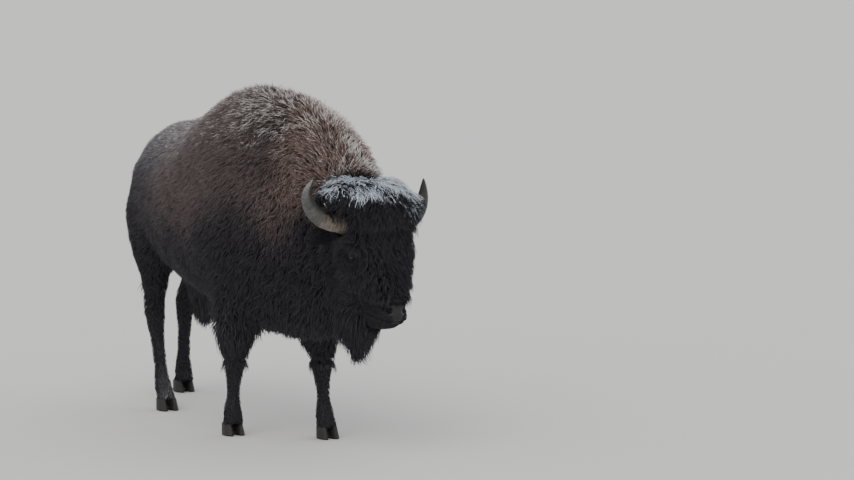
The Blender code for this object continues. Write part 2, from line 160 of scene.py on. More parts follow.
def ripple(points, size, seed):
    """A smooth random field between about -1 and 1 whose waves are about size long."""
    rng = np.random.default_rng(seed)
    total = np.zeros(len(points))
    for _ in range(8):
        way = unit(rng.normal(size=3))
        length = size * rng.uniform(0.7, 1.6)
        total += np.sin(points @ way * (2 * math.pi / length) + rng.uniform(0, 2 * math.pi))
    return total / 3.0


def zones(points):
    """How much each point belongs to the parts of the animal that carry different hair."""
    x, y, z = points.T
    ahead, _, up = in_head(points)
    off_middle = np.abs(y - MIDLINE)
    head = eased(ahead, -0.20, -0.13) * eased(up, 0.33, 0.27) * eased(up, -0.76, -0.71)
    fore = eased(x, BETWEEN_LEGS - 0.1, BETWEEN_LEGS + 0.1)
    zone = {"head": head}
    zone["crown"] = head * eased(up, 0.00, 0.06)
    zone["muzzle"] = head * eased(up, -0.26, -0.40) * eased(ahead, 0.04, 0.11)
    zone["beard"] = head * eased(up, -0.38, -0.48) * eased(ahead, 0.12, 0.07)
    zone["bridge"] = head * eased(ahead, 0.13, 0.19) * eased(up, -0.400, -0.345) * eased(up, 0.0, -0.15)
    zone["nose"] = zone["muzzle"] * (1 - zone["beard"])
    zone["bare"] = zone["nose"] * (1 - zone["bridge"])
    zone["eye"] = eased(eye_reach(points, 0.072, 0.062), 1.30, 0.55)
    zone["horn_root"] = spot(points, (0.0, 0.13, -0.02), (0.075, 0.08, 0.065)) * 0.8
    zone["shank"] = mixed(eased(z, HOCK + 0.10, HOCK - 0.04), eased(z, KNEE + 0.05, KNEE - 0.03), fore)
    zone["fetlock"] = eased(z, HOOF_TOP + 0.050, HOOF_TOP + 0.015)
    zone["hoof"] = eased(z, HOOF_TOP - 0.004, HOOF_TOP - 0.016)
    zone["chap"] = fore * eased(z, 0.66, 0.56) * (1 - zone["shank"]) * (1 - head)
    zone["thigh"] = (1 - fore) * eased(z, 0.95, 0.78) * (1 - zone["shank"]) * eased(off_middle, 0.03, 0.07)
    zone["mane"] = fore * eased(z, 0.95, 0.72) * (1 - head) * eased(x, 0.0, 0.45)
    zone["cape"] = eased(x, -0.34, 0.02) * (1 - head)
    zone["hump"] = eased(z, HUMP_FOOT - 0.03, HUMP_FOOT + 0.06)
    zone["belly"] = (1 - fore) * eased(z, 0.80, 0.72)
    zone["belly"] *= eased(off_middle, 0.13, 0.09) * eased(x, -0.86, -0.78)
    tail = np.minimum(outside(points, "tail", 0.02), outside(points, "tail_tuft", 0.02))
    zone["tail"] = eased(tail, 0.010, 0.001)
    zone["tail_tuft"] = zone["tail"] * eased(z, TAIL_TUFT_TOP + 0.01, TAIL_TUFT_TOP - 0.03)
    zone["tuft_end"] = zone["tail_tuft"] * eased(z, TAIL_TUFT_TOP - 0.02, TAIL_TUFT_TOP - 0.12)
    return zone


# Each zone in turn draws the coat towards its own: the room between hide and tips and the length of a
# lock, in metres, and the locks on a square metre. None leaves the coat as it is.
ROOM, LENGTH, NUMBER = range(3)
ZONE_COATS = {
    "mane": (0.060, 0.105, 10600.0),
    "chap": (0.048, 0.110, 12500.0),
    "thigh": (0.020, 0.040, None),
    "shank": (0.009, 0.022, 21000.0),
    "hoof": (0.018, None, None),
    "fetlock": (None, 0.036, None),
    "head": (0.038, 0.062, 21000.0),
    "crown": (0.055, 0.115, 19000.0),
    "beard": (0.038, 0.120, 16000.0),
    "nose": (0.007, None, None),
    "bare": (None, 0.014, 56000.0),
    "eye": (0.007, 0.013, 60000.0),
    "horn_root": (0.018, 0.035, None),
    "belly": (None, 0.110, 14000.0),
    "tail": (0.004, 0.022, 24000.0),
    "tail_tuft": (None, 0.120, None),
    "tuft_end": (0.016, None, None),
}


def drawn(value, zone, column):
    """Draw one figure of the coat towards that of every zone in turn."""
    for name, figures in ZONE_COATS.items():
        if figures[column] is not None:
            value = mixed(value, figures[column], zone[name])
    return value


def coat_depth(points, zone):
    """Room between the hide and the tips of the coat."""
    depth = mixed(0.024, 0.034, eased(points[:, 0], RUMP_X + 0.2, FLANK_X))
    return drawn(mixed(depth, 0.052, zone["cape"]), zone, ROOM)


def hair_length(points, zone):
    """Length of a lock from root to tip."""
    length = mixed(0.042, 0.052, eased(points[:, 0], RUMP_X + 0.2, FLANK_X))
    return drawn(mixed(length, 0.078 - 0.016 * zone["hump"], zone["cape"]), zone, LENGTH)


def locks_wanted(zone):
    """Locks on a square metre of hide."""
    return drawn(mixed(17000.0, 9600.0 + 5400.0 * zone["hump"], zone["cape"]), zone, NUMBER)


def lie_of_coat(points, normals, zone):
    """The way that hair lies at each point, along the hide: each lie in turn holds by its share."""
    ahead, side, up = in_head(points)
    neck = eased(points[:, 0], HUMP_X + 0.15, HUMP_X + 0.55)
    hanging = np.maximum.reduce([zone[name] for name in ("chap", "mane", "shank", "thigh", "tail")])
    face = -UPWARD + AHEAD * 0.10 - AHEAD * (1.1 * eased(ahead, 0.16, 0.02))[:, None]
    mop = AHEAD * (ahead + 0.17)[:, None] * 3.0 + ASIDE * side[:, None] * 3.4 - UPWARD * 0.55
    round_eye = AHEAD * (ahead - EYE_AHEAD)[:, None] + UPWARD * (up + EYE_BELOW)[:, None] - AHEAD * 0.008
    way = np.tile((-0.66, 0.0, -0.74), (len(points), 1))
    for lie, share in (
        ((-0.34, 0.0, -0.95), zone["cape"]),
        ((-0.22, 0.0, -1.0), neck),
        ((-1.0, 0.0, -0.10), neck * eased(np.abs(normals[:, 1]), 0.80, 0.40)),
        ((-1.0, 0.0, 0.0), eased(normals[:, 2], 0.72, 0.95)),
        ((-0.12, 0.0, -1.0), hanging),
        ((-0.35, 0.0, -1.0), zone["belly"]),
        (face, zone["head"]),
        (mop, zone["crown"]),
        (unit(round_eye), 0.8 * zone["eye"]),
        ((-0.05, 0.0, -1.0), zone["beard"]),
    ):
        way = mixed(way, np.array(lie), share[:, None])
    sway = np.stack([ripple(points, 0.16, seed) for seed in (11, 12, 13)], axis=1)
    way = unit(way) + sway * 0.22
    return unit(way - normals * np.sum(way * normals, axis=1)[:, None])


def markings(points, normals):
    """Shares of dark hair with a painted shadow band in it, red-brown cape, frost, and dusted snow with a
    painted sheen, the same on hide and coat.
    """
    x, _, z = points.T
    ahead, _, up = in_head(points)
    zone = zones(points)
    body = 1 - zone["head"]
    patchy = ripple(points, 0.35, 31) * 0.09
    streaky = ripple(points, 0.07, 32) * 0.16

    line = 1.10 + 0.12 * eased(x, 0.0, 0.35) - 0.06 * eased(x, 0.58, 0.76) + 0.3 * patchy
    low = 0.88 * eased(z, line + 0.17, line - 0.20)
    nape = 0.84 * eased(ahead + patchy, -0.25, -0.12) * eased(up + patchy, 0.24, 0.10)
    # Painted shadow: a darker band on the right side between the hump and the mane in front of it, where
    # shade falls; it joins the dark share.
    painted_shadow_band = 0.30 * eased(np.abs(x - HUMP_X - 0.35 - (1.5 - z) * 0.4), 0.12, 0.02)
    painted_shadow_band *= eased(z, 1.36, 1.46) * eased(z, 1.74, 1.62) * eased(normals[:, 1], 0.1, -0.2)
    dark = np.maximum.reduce([nape, zone["head"], zone["tail"], zone["crown"], low, painted_shadow_band])

    cape_front = 0.50 + (1.75 - z) * 0.45 + patchy * 0.6
    cape = eased(x, cape_front - 0.24, cape_front + 0.10)
    cape = np.maximum(cape, 0.44 * eased(x, -0.88, -0.35)) * (1 - dark)

    top = streaky + mixed(0.50, 0.66, eased(x, HUMP_X - 0.15, HUMP_X + 0.15))
    top *= eased(normals[:, 2], 0.05, 0.80) * body * eased(z, 1.15, 1.5)
    veil = 0.34 * cape * eased(x, 0.1, 0.5)
    crest = eased(normals[:, 1], -0.22, 0.20) * eased(normals[:, 1], 1.0, 0.88)
    crest *= eased(normals[:, 0], 0.05, 0.30)
    crest *= eased(x, HUMP_X + 0.14, HUMP_X + 0.32) * eased(z, 1.25, 1.42) * body
    mop = zone["crown"] * eased(up + streaky * 0.35, 0.06, 0.16) * eased(normals @ UPWARD, 0.05, 0.50)
    frost = [top, veil, (0.96 + streaky * 2.8) * crest, (1.26 + streaky * 3.2) * mop]

    # Snow dusted on the upward faces of the rump, with painted sheen: these tops are made lighter as if
    # light fell on them.
    dust = 0.50 * eased(normals[:, 2], 0.15, 0.80) * eased(x, 0.0, -0.50) * (1 - zone["tail"])
    return {"dark": dark, "cape": cape, "frost": np.maximum.reduce(frost), "dust": dust}


# ---------------------------------------------------------------- meshes
def only(*bodies):
    """Select these objects and nothing else, and make the first one active."""
    bpy.ops.object.select_all(action="DESELECT")
    for body in bodies:
        body.select_set(True)
    bpy.context.view_layer.objects.active = bodies[0]


def joined(bodies):
    """Join objects into the first one."""
    only(*bodies)
    bpy.ops.object.join()
    return bodies[0]


def changed(body, kind, **settings):
    """Apply one modifier to a body."""
    only(body)
    step = body.modifiers.new("step", kind)
    for key, value in settings.items():
        setattr(step, key, value)
    bpy.ops.object.modifier_apply(modifier=step.name)
    return body


def remeshed(body, cell):
    """Even faces of about this size all over a body."""
    return changed(body, "REMESH", mode="VOXEL", voxel_size=cell)


def relaxed(body, times):
    """A body smoothed this many times."""
    return changed(body, "SMOOTH", factor=0.5, iterations=times)


def rows_of(items, field, width, kind=float):
    """One field of many items of a mesh, a row for each item."""
    found = np.empty(len(items) * width, dtype=kind)
    items.foreach_get(field, found)
    return found.reshape(-1, width)


def points_of(body):
    return rows_of(body.data.vertices, "co", 3)


def normals_of(body):
    return rows_of(body.data.vertex_normals, "vector", 3, np.float32).astype(float)


def set_points(body, points):
    body.data.vertices.foreach_set("co", points.ravel())
    body.data.update()


def keep(body, **stored):
    """Store numbers or vectors on every vertex, each set under its own name."""
    for name, values in stored.items():
        kind, field = ("FLOAT", "value") if values.ndim == 1 else ("FLOAT_VECTOR", "vector")
        store = body.data.attributes.new(name, kind, "POINT")
        store.data.foreach_set(field, np.ascontiguousarray(values, dtype=np.float32).ravel())


def placed(mesh, name):
    """A new object in the scene that shows a mesh."""
    made = bpy.data.objects.new(name, mesh)
    bpy.context.scene.collection.objects.link(made)
    return named(made, name)


def named(body, name):
    """Give a body and its mesh a name."""
    body.name = body.data.name = name
    return body


def copy_of(node, name):
    """A merged copy of a CAD node."""
    made = placed(bpy.data.objects[node].data.copy(), name)
    return changed(made, "WELD", merge_threshold=SAME_PLACE)


def rounded_copy(node, name, cell, swell):
    """A copy of a CAD node in fine, even faces."""
    made = copy_of(node, name)
    changed(made, "SUBSURF", levels=2, render_levels=2)
    relaxed(remeshed(made, cell), 3)
    set_points(made, points_of(made) + normals_of(made) * swell)
    return made


def smooth(body):
    body.data.shade_smooth()
    return body


@contextmanager
def edited(body):
    """A body's mesh, open for editing and written back at the end."""
    mesh = bmesh.new()
    mesh.from_mesh(body.data)
    mesh.verts.ensure_lookup_table()
    yield mesh
    mesh.to_mesh(body.data)
    mesh.free()


def shells_of(mesh):
    """The connected shells of a mesh as lists of vertices, the biggest last."""
    left = set(mesh.verts)
    shells = []
    while left:
        shell = [left.pop()]
        for vertex in shell:
            for edge in vertex.link_edges:
                other = edge.other_vert(vertex)
                if other in left:
                    left.discard(other)
                    shell.append(other)
        shells.append(shell)
    return sorted(shells, key=len)


def refine(body, wanted, cuts):
    """Cut the faces whose every corner is wanted into finer ones."""
    with edited(body) as mesh:
        edges = [edge for edge in mesh.edges if all(wanted[vertex.index] for vertex in edge.verts)]
        bmesh.ops.subdivide_edges(mesh, edges=edges, cuts=cuts, use_grid_fill=True, smooth=0.0)


# ---------------------------------------------------------------- hide
SKIN_CELL = 0.012  # cell of the remesh that makes the hide
CLOSE_GAPS = 0.0008  # how far the solids are swollen, so that they fuse across their gaps
SHRINK_STEPS, TRUE_STEPS = 4, 3  # rounds of shrinking, and of setting the depth true
MOST_SET_TRUE = 0.02  # in one round


def shrunk_hide():
    """One closed hide under the whole coat, from the CAD solids shrunk by the coat's depth."""
    solids = [copy_of(node, "hide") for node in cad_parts]
    for body in solids:
        set_points(body, points_of(body) + normals_of(body) * CLOSE_GAPS)
    hide = remeshed(joined(solids), SKIN_CELL)
    outer = BVHTree.FromObject(hide, bpy.context.evaluated_depsgraph_get())
    relaxed(hide, 4)
    for _ in range(SHRINK_STEPS):
        points = points_of(hide)
        room = coat_depth(points, zones(points)) / SHRINK_STEPS
        set_points(hide, points - normals_of(hide) * room[:, None])
        remeshed(relaxed(hide, 1), SKIN_CELL)
    with edited(hide) as mesh:
        spare = [vertex for shell in shells_of(mesh)[:-1] for vertex in shell]
        bmesh.ops.delete(mesh, geom=spare, context="VERTS")
    relaxed(hide, 3)
    for _ in range(TRUE_STEPS):
        points = points_of(hide)
        away = np.array([outer.find_nearest(point)[3] for point in points])
        lost = np.clip(away - coat_depth(points, zones(points)), -MOST_SET_TRUE, MOST_SET_TRUE)
        set_points(hide, points + normals_of(hide) * lost[:, None])
        relaxed(hide, 1)
    return hide


MOUTH_CORNER, MOUTH_FRONT = (0.10, -0.455), (0.298, -0.497)
PAD_TOP, PAD_WIDE, PAD_NARROW = -0.397, 0.061, 0.026
HIDE_ROUND_EYE = 0.0252  # radius of the skin's dome over the ball
FINE_ROUND_EYE, FINE_CUTS = 0.062, 3  # how far round an eye the faces are finer, and how often they are cut


def mouth_line(ahead):
    """Height of the line between the lips at a distance ahead."""
    share = (ahead - MOUTH_CORNER[0]) / (MOUTH_FRONT[0] - MOUTH_CORNER[0])
    return mixed(MOUTH_CORNER[1], MOUTH_FRONT[1], share)


def pad_reach(points):
    """Distance from the middle line of the bare nose pad, 1 at its edge."""
    _, side, up = in_head(points)
    half = mixed(PAD_NARROW, PAD_WIDE, eased(up, -0.486, -0.425))
    half = half * np.sqrt(np.clip((PAD_TOP - up) / 0.022, 0.0, 1.0))
    return np.abs(side) / np.maximum(half, 0.0005)


def pad_share(points):
    """1 on the bare nose pad."""
    ahead, _, up = in_head(points)
    return eased(pad_reach(points), 1.08, 0.94) * eased(ahead, 0.19, 0.22) * eased(up, -0.505, -0.497)


LIP_FOLDS = (  # how far it stands out, its middle above the line between the lips, and its width
    (0.0040, 0.014, 0.009),  # upper lip
    (0.0030, -0.013, 0.009),  # lower lip
    (-0.0080, 0.0, 0.0045),  # the slit between them
)
GROOVE_WIDE, GROOVE_DEEP, CHIN_BACK = 0.004, 0.0035, 0.0100  # the groove runs from nose to lip


def mouth_push(ahead, side, up):
    """How far the skin round nose pad, mouth and chin stands out or in."""
    front = eased(ahead, 0.12, 0.20)
    groove = bell((side, 0.0, GROOVE_WIDE)) * eased(up, -0.445, -0.462) * eased(up, -0.500, -0.492) * front
    from_mouth = up - mouth_line(ahead)
    lips = eased(ahead, MOUTH_CORNER[0] - 0.01, MOUTH_CORNER[0] + 0.03)
    folds = sum(out * bell((from_mouth, rise, wide)) for out, rise, wide in LIP_FOLDS)
    chin = eased(from_mouth, -0.008, -0.030) * eased(ahead, 0.20, 0.27)
    return folds * lips - GROOVE_DEEP * groove - CHIN_BACK * chin


NOSE_FOLDS = (  # depth or height, then middle and width across the nose, and middle and width up it
    (0.027, (0.046, 0.0135), (-0.437, 0.0125)),  # nostril
    (0.015, (0.064, 0.0120), (-0.423, 0.0080)),  # the slot outside it
    (0.0050, (0.052, 0.024), (-0.413, 0.010)),  # the rim above it
)
NOSTRIL_INWARD = 0.35  # how far a nostril leans to the middle, for 1 straight back


def nostril_moves(normals, ahead, side, up):
    """Nostrils and the slots outside them pushed in, and their upper rims raised."""
    front = eased(ahead, 0.12, 0.20)
    nostril, slot, rim = (
        size * (bell((np.abs(side), *at), (up, *rise)) * front) for size, at, rise in NOSE_FOLDS
    )
    inward = -AHEAD - ASIDE * (np.sign(side) * NOSTRIL_INWARD)[:, None]
    return inward * (nostril + slot)[:, None] + normals * rim[:, None]


def eye_shift(points, moved):
    """How far sideways the skin round an eye moves, onto a dome over the ball and in behind the lids."""
    round_eye = eye_reach(points, 1.0, 1.0)
    dome = EYE_OUT + np.sqrt(np.maximum(HIDE_ROUND_EYE**2 - round_eye**2, 0))
    now = np.abs(np.array(in_head(moved))[1])
    level = mixed(now, dome, eased(round_eye, 1.25 * HIDE_ROUND_EYE, 0.80 * HIDE_ROUND_EYE))
    sunk = eased(eye_reach(points, EYE_HALF_WIDTH, EYE_HALF_HEIGHT), 1.30, 0.95)
    level = mixed(level, EYE_OUT - 0.012, sunk)
    return np.where(round_eye < 1, level - now, 0.0)


EYE_BONES = (  # height, place and size
    (0.006, (EYE_AHEAD - 0.004, EYE_OUT + 0.010, -EYE_BELOW + 0.036), (0.034, 0.05, 0.014)),  # brow
    (0.003, (EYE_AHEAD + 0.004, EYE_OUT + 0.008, -EYE_BELOW - 0.036), (0.030, 0.05, 0.012)),  # cheekbone
)
PAD_HEIGHT, PAD_EDGE = 0.0026, 0.0018


def sculpt_face(hide):
    """Nose pad, nostrils, lips, chin and the bony rims of the eyes, on finer faces."""
    points = points_of(hide)
    ahead, side, up = in_head(points)
    eye_away = np.linalg.norm(np.stack([ahead - EYE_AHEAD, np.abs(side) - EYE_OUT, up + EYE_BELOW]), axis=0)
    refine(hide, (zones(points)["muzzle"] > 0.3) | (eye_away < FINE_ROUND_EYE), FINE_CUTS)
    points = points_of(hide)
    normals = normals_of(hide)
    ahead, side, up = in_head(points)
    edge = bell((pad_reach(points), 1.06, 0.08)) * eased(ahead, 0.12, 0.20) * eased(up, -0.50, -0.48)
    push = PAD_HEIGHT * pad_share(points) - PAD_EDGE * edge + mouth_push(ahead, side, up)
    moved = points + normals * push[:, None] + nostril_moves(normals, ahead, side, up)
    moved += normals * sum(height * spot(points, place, size) for height, place, size in EYE_BONES)[:, None]
    set_points(hide, moved + ASIDE * (eye_shift(points, moved) * np.sign(side))[:, None])
    return hide


def make_hide():
    """The whole hide, with its nose pad and its markings stored on it."""
    hide = named(sculpt_face(shrunk_hide()), "hide")
    points = points_of(hide)
    keep(hide, pad=pad_share(points), **markings(points, normals_of(hide)))
    return smooth(hide)


# ---------------------------------------------------------------- coat
ISLAND_BEND, ISLAND_GAP = math.radians(66), 0.004  # of the unwrap


class Hide:
    """The hide as arrays: triangles to sow hair on, and the nearest place on it to any point."""

    def __init__(self, body):
        mesh = body.data
        mesh.calc_loop_triangles()
        self.triangles = rows_of(mesh.loop_triangles, "vertices", 3, np.int32)
        self.points = points_of(body)
        self.normals = normals_of(body)
        self.tree = BVHTree.FromPolygons(self.points.tolist(), self.triangles.tolist())
        corner = self.points[self.triangles]
        self.centres = corner.mean(axis=1)
        first, second = corner[:, 1] - corner[:, 0], corner[:, 2] - corner[:, 0]
        self.areas = np.linalg.norm(np.cross(first, second), axis=1) / 2

    def beneath(self, points):
        """Nearest places on the hide and its smooth normals there."""
        places = np.empty_like(points)
        faces = np.empty(len(points), dtype=np.int64)
        for row, point in enumerate(points):
            place, _, face, _ = self.tree.find_nearest(point)
            places[row] = place
            faces[row] = face
        corners = self.points[self.triangles[faces]]
        away = np.linalg.norm(corners - places[:, None], axis=2)
        weight = 1 / (away + 1e-5)
        weight /= weight.sum(axis=1, keepdims=True)
        normals = np.einsum("nc,ncd->nd", weight, self.normals[self.triangles[faces]])
        return places, unit(normals)

    def unwrap(self, chosen):
        """UV corners of the chosen triangles on an unwrap of their own shape."""
        used, index = np.unique(self.triangles[chosen], return_inverse=True)
        mesh = bpy.data.meshes.new("patch")
        mesh.from_pydata(self.points[used].tolist(), [], index.reshape(-1, 3).tolist())
        patch = placed(mesh, "patch")
        only(patch)
        bpy.ops.object.mode_set(mode="EDIT")
        bpy.ops.mesh.select_all(action="SELECT")
        bpy.ops.uv.smart_project(angle_limit=ISLAND_BEND, island_margin=ISLAND_GAP)
        bpy.ops.object.mode_set(mode="OBJECT")
        found = rows_of(mesh.uv_layers.active.data, "uv", 2)
        bpy.data.objects.remove(patch)
        bpy.data.meshes.remove(mesh)
        return found.reshape(-1, 3, 2)


@dataclass
class Coat:
    """How the locks of one region of the coat grow."""

    rings: int  # rings of a lock below its tip
    slot: str = "coat_dark"
    slim: float = 0.15  # width for its length
    curl: float = 0.05  # sideways wave for its length
    gather: float = 0.40  # how far locks lean into the clump they belong to
    clump: int = 7  # locks in a clump
    hang: float = 0.0  # 0 follows the hide, 1 hangs free
    droop: float = 0.0  # fall of a free lock for its length
    stray: float = 0.18  # spread of directions, in radians
    lift: float = 1.0  # height of the tips in the room for the coat
    body: float = 0.0  # 1 turns to the cape's locks where the cape begins
    length: float = 0.0  # a lock's own length, or 0 to follow the body's
    height: float = 0.0  # a lock's own height, or 0 to follow the body's
    way: tuple = ()  # its own lie: ahead, outward and up


HANGING = dict(rings=4, curl=0.06, clump=9, stray=0.22)
CAPE_SLIM, CAPE_CURL, CAPE_STRAY = 0.086, 0.15, 0.40  # of locks on the cape
COATS = {
    "muzzle": Coat(2, slim=0.2, gather=0.3),
    "beard": Coat(hang=0.7, droop=0.5, gather=0.6, slim=0.07, **HANGING),
    "crown": Coat(
        4, slim=0.065, curl=0.10, gather=0.6, clump=14, hang=0.45, droop=0.35, stray=0.26, lift=1.1
    ),
    "face": Coat(3, slim=0.10, curl=0.06, gather=0.5, stray=0.24, lift=1.18),
    "tail_tuft": Coat(hang=0.8, droop=0.6, gather=0.3, slim=0.07, **HANGING),
    "tail": Coat(2, slim=0.2, stray=0.14),
    "belly": Coat(hang=0.7, droop=0.5, gather=0.5, slim=0.08, **HANGING),
    "shank": Coat(2, slim=0.2, stray=0.14),
    "chap": Coat(hang=0.35, droop=0.3, gather=0.5, slim=0.08, **HANGING),
    "thigh": Coat(2, slim=0.15, stray=0.14),
}
BODY_COATS = (
    ("rump", 2, "coat_brown"),
    ("flank", 2, "coat_brown"),
    ("hump", 2, "coat_cape"),
    ("shoulder", 3, "coat_cape"),
)
for region, rings, slot in BODY_COATS:
    for word in SIDES:
        COATS[f"{word}_{region}"] = Coat(
            rings, slot, slim=0.105, curl=0.04, gather=0.38, lift=1.14, body=1.0
        )

COAT_SEED, EAR_SEED, LASH_SEED = 100, 200, 300  # where each kind's random draws start
PATCH = 0.003  # side of a lock's place on its UV map
NARROWEST, WIDEST = 0.0028, 0.0130  # of all locks
ROOT_DEPTH = 0.002  # how deep a lock's root lies in the hide
WAVES = 0.6  # of a lock, from root to tip
BRIDGE_HEIGHT = 0.034  # least height of the tuft on the bridge of the nose, before its own lift
EYE_CLEARING = (0.0275, 0.0190)  # half width and half height of the place with no roots round an eye


def sow(hide, chosen, rng):
    """Roots spread evenly over the chosen triangles, with their normals and UV places."""
    uv = hide.unwrap(chosen)
    wanted = np.cumsum(hide.areas[chosen] * locks_wanted(zones(hide.centres[chosen])))
    count = int(wanted[-1])
    reach = (np.arange(count) + rng.uniform(0, 1, count)) / count * wanted[-1]
    row = np.minimum(np.searchsorted(wanted, reach), len(chosen) - 1)
    a, b = rng.uniform(0, 1, (2, count))
    over = a + b > 1
    a[over], b[over] = 1 - a[over], 1 - b[over]
    share = np.stack([1 - a - b, a, b], axis=1)
    corners = hide.triangles[chosen[row]]
    roots = np.einsum("nc,ncd->nd", share, hide.points[corners])
    normals = unit(np.einsum("nc,ncd->nd", share, hide.normals[corners]))
    places = np.einsum("nc,ncd->nd", share, uv[row])
    clear = (pad_share(roots) < 0.5) & (eye_reach(roots, *EYE_CLEARING) > 1)
    clear &= roots[:, 2] > HOOF_TOP - 0.012
    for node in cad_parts:
        if node.endswith(("_horn", "_hoof")):
            clear &= outside(roots, node, 0.01) > 0
    return roots[clear], normals[clear], places[clear]


def tip_heights(coat, roots, normals, zone, rng):
    """How high the locks' tips stand over the hide."""
    _, side, up = in_head(roots)
    height = (coat.height or coat_depth(roots, zone)) * coat.lift * rng.uniform(0.70, 1.08, len(roots))
    bridge = zone["bridge"] * eased(normals @ AHEAD, 0.20, 0.80)
    height = mixed(height, np.maximum(height, BRIDGE_HEIGHT) * 1.25, bridge)
    height *= (1 + 0.16 * ripple(roots, 0.09, 21)) * (1 + 0.40 * topline(normals, zone))
    return height * (1 - 0.55 * zone["crown"] * eased(up, 0.10, 0.19) * eased(np.abs(side), 0.07, 0.20))


def topline(normals, zone):
    """1 along the top of the cape, where the coat stands up."""
    return zone["cape"] * eased(normals[:, 2], 0.30, 0.85)


def clump_leaders(roots, clump):
    """For each lock, the lock that its clump leans towards."""
    leaders = np.arange(0, len(roots), clump)
    tree = KDTree(len(leaders))
    for place, leader in enumerate(leaders):
        tree.insert(roots[leader], place)
    tree.balance()
    return leaders[[tree.find(root)[1] for root in roots]]


def curled(path, raised, steps, wave, phase):
    """Locks waved from side to side and, half as far, up and down, with their two cross directions."""
    heading = unit(np.gradient(path, axis=1))
    sideways = unit(np.cross(heading, raised))
    upward = unit(np.cross(sideways, heading))
    turn = phase[:, None] + steps[None, :] * 2 * math.pi * WAVES
    swing = (np.sin(turn) - np.sin(phase)[:, None]) * steps[None, :] * wave[:, None]
    bounce = (np.cos(turn) - np.cos(phase)[:, None]) * steps[None, :] * wave[:, None] * 0.5
    return path + sideways * swing[..., None] + upward * bounce[..., None], sideways, upward


def grow(hide, coat, roots, normals, rng):
    """The locks' middle lines, their sideways and upward directions, and their widths and lengths."""
    count = len(roots)
    zone = zones(roots)
    loose = zone["cape"] * coat.body
    spread = (rng.normal(0, 1, count) * mixed(coat.stray, CAPE_STRAY, loose))[:, None]
    way = lie_of_coat(roots, normals, zone)
    if coat.way:
        way = AHEAD * coat.way[0] + ASIDE * coat.way[1] + UPWARD * coat.way[2]
        way = unit(way - normals * (normals @ way)[:, None])
    way = way * np.cos(spread) + np.cross(normals, way) * np.sin(spread)
    length = (coat.length or hair_length(roots, zone)) * rng.uniform(0.75, 1.20, count)
    height = tip_heights(coat, roots, normals, zone, rng)
    height = np.minimum(height, length * mixed(0.85, 1.15, topline(normals, zone)))
    wave = length * mixed(coat.curl, CAPE_CURL, loose) * rng.uniform(0.5, 1.5, count)
    phase = rng.uniform(0, 2 * math.pi, count)
    steps = np.arange(coat.rings + 1) / coat.rings
    path = np.empty((count, coat.rings + 1, 3))
    raised = np.empty_like(path)
    path[:, 0] = roots - normals * ROOT_DEPTH
    raised[:, 0] = normals
    for ring, t in enumerate(steps[1:], 1):
        rise = ((1 - (1 - t) ** 1.6) * height)[:, None]
        reached = roots + way * (length * t)[:, None]
        flat, above = hide.beneath(reached)
        free = reached + normals * rise + DOWN * (length * coat.droop * t * t)[:, None]
        path[:, ring] = mixed(flat + above * rise, free, coat.hang)
        raised[:, ring] = above
    leaders = clump_leaders(roots, coat.clump)
    lean = coat.gather * steps[None, :, None] ** 1.3 * rng.uniform(0.6, 1.2, count)[:, None, None]
    path = mixed(path, path[leaders], np.minimum(lean, 0.95))
    path, sideways, upward = curled(path, raised, steps, wave, phase)
    width = np.clip(length * mixed(coat.slim, CAPE_SLIM, loose), NARROWEST, WIDEST)
    return path, sideways, upward, width * rng.uniform(0.75, 1.2, count), length


def lock_faces(rings):
    """Triangles of one closed three-sided lock: its root, its rings and its tip."""
    faces = [(0, 2, 1)]
    for ring in range(rings - 1):
        for corner in range(3):
            a, b = ring * 3 + corner, ring * 3 + (corner + 1) % 3
            faces += [(a, b, b + 3), (a, b + 3, a + 3)]
    last, tip = (rings - 1) * 3, rings * 3
    faces += [(last + corner, last + (corner + 1) % 3, tip) for corner in range(3)]
    return np.array(faces)


def clear_of_parts(path):
    """Which locks pass neither through a horn nor across an eye."""
    clear = np.ones(len(path), dtype=bool)
    for ring in range(1, path.shape[1]):
        clear &= eye_reach(path[:, ring], EYE_HALF_WIDTH, EYE_HALF_HEIGHT) > 1.0
        for word in SIDES:
            clear &= outside(path[:, ring], f"{word}_horn", 0.01) > -0.002
    return clear


def make_coat(name, hide, coat, chosen, seed):
    """Grow one region's locks and join them as one mesh."""
    rng = np.random.default_rng(seed)
    roots, normals, places = sow(hide, chosen, rng)
    grown = grow(hide, coat, roots, normals, rng)
    clear = clear_of_parts(grown[0])
    grown = [values[clear] for values in grown]
    return locks(name, coat.rings, grown, roots[clear], normals[clear], places[clear], rng)


def lock_corners(path, sideways, upward, width, steps):
    """Three corners to each ring of a lock, and its tip."""
    girth = np.minimum(1.0, 0.5 + 1.8 * steps) * (1 - steps**2)
    half = (width[:, None] * girth[None, :] / 2)[..., None]
    rings = np.stack([path - sideways * half, path + upward * half * 0.75, path + sideways * half], axis=2)
    return np.concatenate([rings[:, :-1].reshape(len(path), -1, 3), path[:, -1:]], axis=1)


def triangle_mesh(name, corners, faces, uv):
    """An object of loose triangles with a UV map."""
    mesh = bpy.data.meshes.new(name)
    mesh.vertices.add(len(corners))
    mesh.vertices.foreach_set("co", corners.astype(np.float32).ravel())
    mesh.loops.add(len(faces) * 3)
    mesh.loops.foreach_set("vertex_index", faces.astype(np.int32).ravel())
    mesh.polygons.add(len(faces))
    mesh.polygons.foreach_set("loop_start", np.arange(0, len(faces) * 3, 3, dtype=np.int32))
    mesh.update(calc_edges=True)
    layer = mesh.uv_layers.new(name="OFBake")
    layer.data.foreach_set("uv", uv[faces.ravel()].astype(np.float32).ravel())
    return placed(mesh, name)


